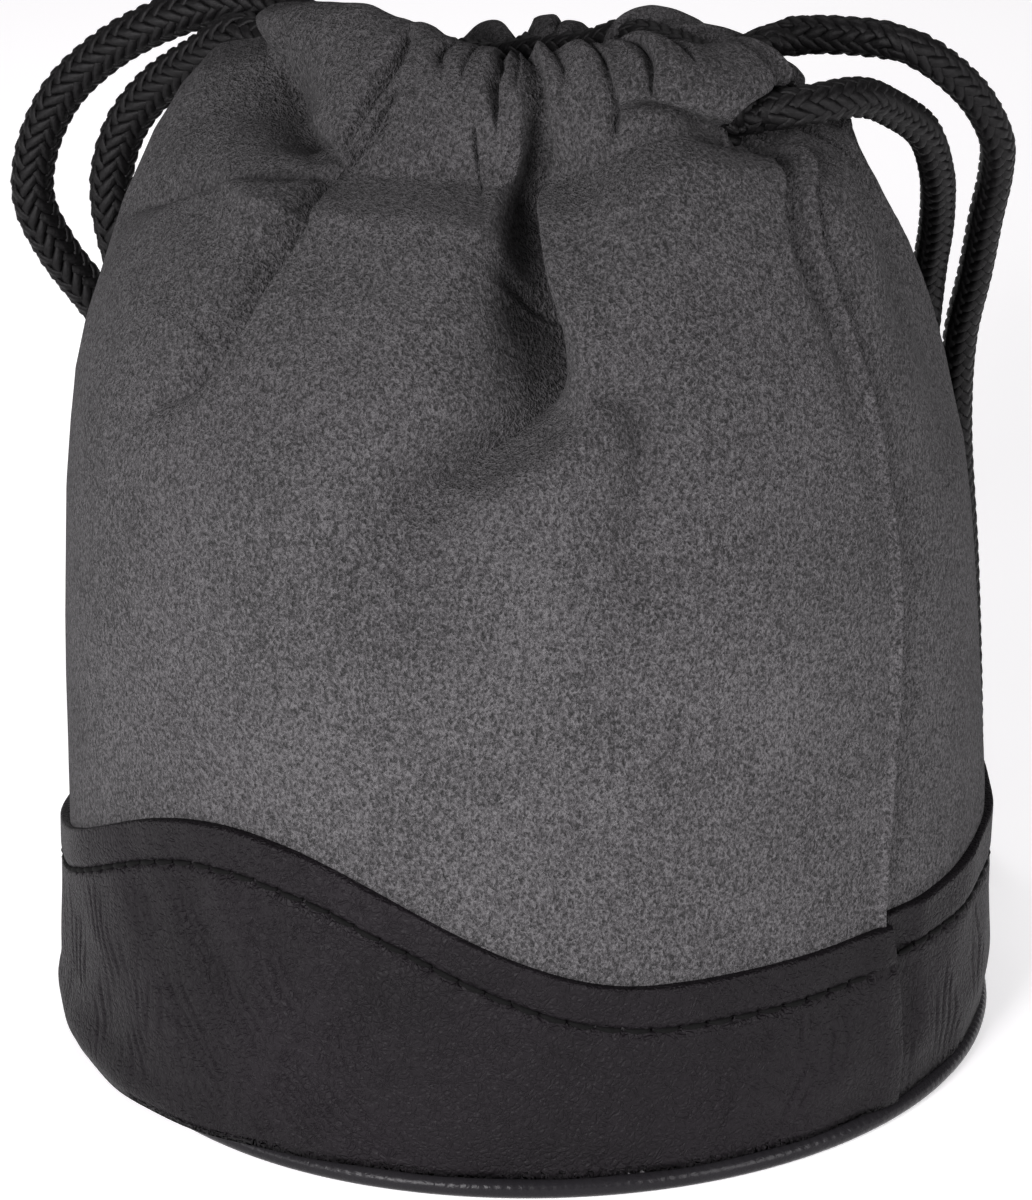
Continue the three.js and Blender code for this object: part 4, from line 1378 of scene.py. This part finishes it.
def band_face(angle, height):
    """Radius of the band's outer face, with soft buckles."""
    radius = wall_radius(angle, np.maximum(height, WALL_BOTTOM)) + BAND_STAND
    # Two slow waves of different length, round the foot and up it, make the buckles.
    buckle = 0.16 * np.cos(np.radians(9 * angle + 40) + height / 5.2) * smooth_share(height, 2, 9)
    buckle = buckle + 0.10 * np.cos(np.radians(23 * angle) - height / 3.1)
    sag = sag_share(angle)
    buckle = buckle - FOOT_ROUNDING * (1 - sag) * (1 - smooth_share(height, 1.5, 8.5))
    turned_in = SAG_TURN_IN * (1 - smooth_share(height, 0.2, 2.4))
    buckle = buckle + sag * (SAG_BULGE * np.exp(-((height - 3) / 2.6) ** 2) - turned_in)
    fan = 0.22 * np.cos(np.radians(34 * angle) + height / 3.4)
    fan = fan * np.exp(-(turn_difference(angle, FAN_ANGLE) / 22) ** 2 - ((height - FAN_HEIGHT) / 9) ** 2)
    return radius + buckle + fan


print("band's radius at the front, mm:", round(float(band_face(-90.0, 15.0)), 1))

# %% [markdown]
# Each strip runs from its turned-in foot over the outer face to its cut top edge. Each stitch pulls its
# thread line into the leather, and the needle leaves a small pit at both its ends.

# %% Places of the stitches
STITCH_INSET = 4.4
STITCH_PITCH = 2.9
STITCH_LENGTH = 2.5
# Angles that the rows of stitches run between.
FRONT_ROW_ENDS, BACK_ROW_ENDS = (-178.6, -1.4), (0.2, 179.8)


def stitch_places(is_front):
    """Middle angle of each stitch, evenly spaced along the stitch line."""
    ends = FRONT_ROW_ENDS if is_front else BACK_ROW_ENDS
    fine = np.linspace(ends[0], ends[1], 4000)
    line_height = band_top(fine, is_front) - STITCH_INSET
    line = cylinder_points(fine, line_height, band_face(fine, line_height))
    along = np.concatenate([[0], np.cumsum(np.linalg.norm(np.diff(line, axis=0), axis=1))])
    count = int(along[-1] // STITCH_PITCH)
    return np.interp((np.arange(count) + 0.5) * along[-1] / count, along, fine)


print("front stitches:", len(stitch_places(True)))

# %% Band pieces
# How far the foot's and the edge's rows lie inside the face, and how high they are: the foot's above a
# level that is FOOT_LEVEL under the face, the edge's above the face's top.
foot_insets, foot_lifts = [1.3, 0.9, 0.55, 0.28, 0.1, 0.0], [0.0, 0.05, 0.18, 0.38, 0.62, 0.85]
edge_insets, edge_lifts = [0.03, 0.12, 0.28, 0.6, 1.0, 1.35, 1.5], [0.1, 0.2, 0.26, 0.28, 0.28, 0.2, -2.0]
# Where the front piece ends past the side line, in degrees at each height: its cut edge leans.
front_end = np.array([(3, 1.3), (9, 1.4), (13.5, 0.8), (19, -0.6), (22.5, -1.4), (26, -1.4)])
STITCH_FURROW, FURROW_HALF_WIDTH = 0.35, 0.6
HOLE_RADIUS, HOLE_DEPTH = 0.32, 0.3
# At its ends the front piece stands out over the back one and has a rounded edge; the back one sinks.
LAP_STAND, LAP_ROUNDING, LAP_SINK = 0.5, 0.45, 0.6
UNDERLAP = 1.2
FACE_ROWS, FACE_COLUMNS = 118, 1000
FOOT_LEVEL = 0.9


def band_piece(name, is_front):
    """One strip of the band, from its turned-in foot over the outer face to its cut top edge."""
    middle = -90.0 if is_front else 90.0
    side_share = np.linspace(-1, 1, FACE_COLUMNS)
    face_share = np.linspace(0, 1, FACE_ROWS)
    rise = np.concatenate([np.zeros(len(foot_lifts)), face_share, np.ones(len(edge_lifts))])
    inset = np.concatenate([foot_insets, np.zeros(FACE_ROWS), edge_insets])
    lift = np.concatenate([foot_lifts, np.zeros(FACE_ROWS), edge_lifts])
    straight, part = np.meshgrid(middle + 90 * side_share, rise)
    low = WALL_BOTTOM + FOOT_LEVEL
    level = low + (band_top(straight, is_front) - low) * part
    past = np.interp(level, front_end[:, 0], front_end[:, 1])
    # The back piece runs on under the front one, but hardly near the top edge, where it would show.
    hidden_share = 1 - 0.9 * smooth_share(level, 19, 21.5)
    past = past if is_front else UNDERLAP * hidden_share - past
    turn = middle + side_share * (90 + past)
    top = band_top(turn, is_front)
    foot = low - FOOT_SAG * sag_share(turn)
    height = foot + (top - foot) * part
    height = height + np.where(part <= 0, lift[:, None] - FOOT_LEVEL, lift[:, None])
    face = band_face(turn, height)
    stitch_line = top - STITCH_INSET
    face = face - STITCH_FURROW * np.exp(-((height - stitch_line) / FURROW_HALF_WIDTH) ** 2)
    face = face - leather_wrinkles(turn, height) * smooth_share(stitch_line - height, 0.4, 2.5)
    for place in stitch_places(is_front):
        # A stitch's pits reach less than six degrees to each side, so the rest is left out of the sum.
        near = np.abs(middle + 90 * side_share - place) < 6
        across = np.radians(turn[:, near] - place) * face[:, near]
        below = (height - stitch_line)[:, near]
        for end in (-0.5, 0.5):
            distance = ((across - end * STITCH_PITCH) / HOLE_RADIUS) ** 2 + (below / HOLE_RADIUS) ** 2
            face[:, near] -= HOLE_DEPTH * np.exp(-distance)
    from_end = np.radians(90 + past - np.abs(turn - middle)) * face
    if is_front:
        face = face + LAP_STAND * smooth_share(-from_end, -6, -1.5)
        face = face - LAP_ROUNDING * smooth_share(-from_end, -LAP_ROUNDING, 0)
    else:
        face = face - LAP_SINK * smooth_share(-from_end, -6, -2.4) * smooth_share(height, 6, 12)
    points = cylinder_points(turn, height, face - inset[:, None])
    return grid_piece(name, points, closed=False, material=band_leather)


for side in ("front", "back"):
    band = band_piece(f"{side}_band_leather", side == "front")
    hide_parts(f"{side}_band")
    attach(band, "pouch")
    print(side, "band points:", len(band.data.vertices))

# %% [markdown]
# ### Stitches
# A lockstitch shows as one short length of thread after another. Each is a small bent tube whose two
# ends dive into the needle holes.

# %% Stitch rows
THREAD_DIAMETER = 0.66
THREAD_SINK = 0.12
# How far a stitch bows out and how far its ends dive, in millimetres, and how thick it is at its ends.
STITCH_BOW, STITCH_DIVE, STITCH_END_SHARE = 0.3, 0.45, 0.55
BAND_RADIUS = 49.5


def stitch_tube(start, end, outward, diameter):
    """One stitch: a thread from hole to hole that stands a little off the surface."""
    share = np.linspace(0, 1, 9)[:, None]
    bow = np.sin(np.pi * share) ** 0.6
    lift = (bow * STITCH_BOW - STITCH_DIVE) * diameter / THREAD_DIAMETER
    path = start + (end - start) * share + outward * lift
    side = np.cross(end - start, outward)
    side /= np.linalg.norm(side)
    rings = []
    thick = diameter / 2 * (STITCH_END_SHARE + (1 - STITCH_END_SHARE) * np.sin(np.pi * share))
    for corner in np.linspace(0, 2 * np.pi, 8, endpoint=False):
        rings.append(path + thick * (np.cos(corner) * side + np.sin(corner) * outward))
    return np.stack(rings, axis=1)


def thread_row(name, starts, ends, outwards, diameter=THREAD_DIAMETER):
    """A row of stitches as one piece of sewing thread."""
    grids = [stitch_tube(*place, diameter) for place in zip(starts, ends, outwards)]
    points, faces = join_grids(grids)
    return mesh_piece(name, points, faces, sewing_thread)


for side in ("front", "back"):
    is_front = side == "front"
    places = stitch_places(is_front)
    half = STITCH_LENGTH / 2 / BAND_RADIUS * 180 / np.pi
    ends = []
    for offset in (-half, half, 0):
        turn = places + offset
        level = band_top(turn, is_front) - STITCH_INSET
        ends.append(cylinder_points(turn, level, band_face(turn, level) - THREAD_SINK))
    outward = ends[2] * [1, 1, 0]
    outward /= np.linalg.norm(outward, axis=1)[:, None]
    row = thread_row(f"{side}_band_stitches", ends[0], ends[1], outward)
    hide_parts(f"{side}_band_thread")
    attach(row, "pouch")
    print(side, "band stitches:", len(places))

# %% [markdown]
# A finer thread sews the hem down and so makes the channel that the cords run in. Its row lies just
# above the line where the cords pinch the wall. A stitch spans five columns of the wall's grid, and
# the next starts after eight.

# %% Hem stitches
HEM_THREAD = 0.4
HEM_STITCH_SINK = 0.25
HEM_ROW_HALF_ANGLE = 80
hem_row = WALL_ROWS + 2
for side, middle in (("front", -90.0), ("back", 90.0)):
    columns = np.flatnonzero(np.abs(turn_difference(angles, middle)) < HEM_ROW_HALF_ANGLE)
    line = suede_points[hem_row][columns] - normals[hem_row][columns] * HEM_STITCH_SINK
    out = normals[hem_row][columns]
    starts, ends, outs = line[:-5:8], line[5::8], out[2:-3:8]
    count = min(len(starts), len(ends), len(outs))
    row = thread_row(f"{side}_hem_stitches", starts[:count], ends[:count], outs[:count], HEM_THREAD)
    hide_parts(f"{side}_hem_thread")
    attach(row, "pouch")
    print(side, "hem stitches:", count)

# %% [markdown]
# ## Welt
# The wall and the base are joined by a narrow rolled strip of glazed leather. The sewing machine
# leaves a ridge at each stitch, and the glaze glints on them.

# %% Welt
welt_low, welt_high = node_box("base_welt")
WELT_RIDGE = 1.15
WELT_RIDGE_DEPTH = 0.07
WELT_TUCK = 1.0
WELT_HALF_WIDTH = 1.3
WELT_SWELL = 0.12
WELT_SAG = 1.3
welt_outer = welt_high[0] - WELT_TUCK
welt_middle = (welt_low[2] + welt_high[2]) / 2
half_height = (welt_high[2] - welt_low[2]) / 2 + WELT_SWELL
ridge_count = int(2 * math.pi * welt_outer / WELT_RIDGE)
turn = np.linspace(0, 2 * np.pi, ridge_count * 6, endpoint=False)
corner = np.linspace(0, 2 * np.pi, 16, endpoint=False)
around, section = np.meshgrid(corner, turn)
ridges = WELT_RIDGE_DEPTH * np.abs(np.sin(ridge_count * section / 2 + 0.8 * around)) ** 0.7
ridges = ridges * smooth_share(np.sin(around), -0.2, 0.4)
under_sag = WELT_SAG * sag_share(np.degrees(section))
radius_round = (welt_outer - under_sag - WELT_HALF_WIDTH
                + (WELT_HALF_WIDTH - WELT_RIDGE_DEPTH + ridges) * np.cos(around))
height_round = welt_middle + (half_height - WELT_RIDGE_DEPTH + ridges) * np.sin(around)
welt_points = cylinder_points(np.degrees(section), height_round, radius_round)
welt = grid_piece("ridged_welt", np.concatenate([welt_points, welt_points[:1]]), material=welt_leather)
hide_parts("base_welt")
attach(welt, "pouch")
print("ridges round the welt:", ridge_count)

# %% [markdown]
# ## Hidden pieces
# The base cover, board, foam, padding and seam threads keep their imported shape, which nobody sees
# from outside, and only get their own finish.

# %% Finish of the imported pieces
packed_finishes = {
    "base_cover": base_leather,
    "base_board": pulp_board,
    "base_foam": padding_felt,
    "base_lining": lining_cloth,
    "wall_padding": padding_felt,
    "left_seam_thread": sewing_thread,
    "right_seam_thread": sewing_thread,
}
for node, finish in packed_finishes.items():
    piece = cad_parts[node]
    piece.data.materials.clear()
    piece.data.materials.append(finish)
print("packed pieces with their own finish:", len(packed_finishes))

# %% [markdown]
# ## Floor
# A plain white sheet, lit a little from below so that it stays white under the low lamps.

# %% Floor
FLOOR_GLOW = 0.35
FLOOR_HALF = 3000.0
floor_material, _, floor_shader = new_material("white_table")
floor_shader.inputs["Base Color"].default_value = linear("#f6f6f6")
floor_shader.inputs["Emission Color"].default_value = linear("#ffffff")
floor_shader.inputs["Emission Strength"].default_value = FLOOR_GLOW
floor_shader.inputs["Roughness"].default_value = 0.9
corners = [(x * FLOOR_HALF, y * FLOOR_HALF, 0) for x, y in ((-1, -1), (1, -1), (1, 1), (-1, 1))]
floor = mesh_piece("floor", corners, [(0, 1, 2, 3)], floor_material)
print("floor, m:", 2 * FLOOR_HALF * MM)
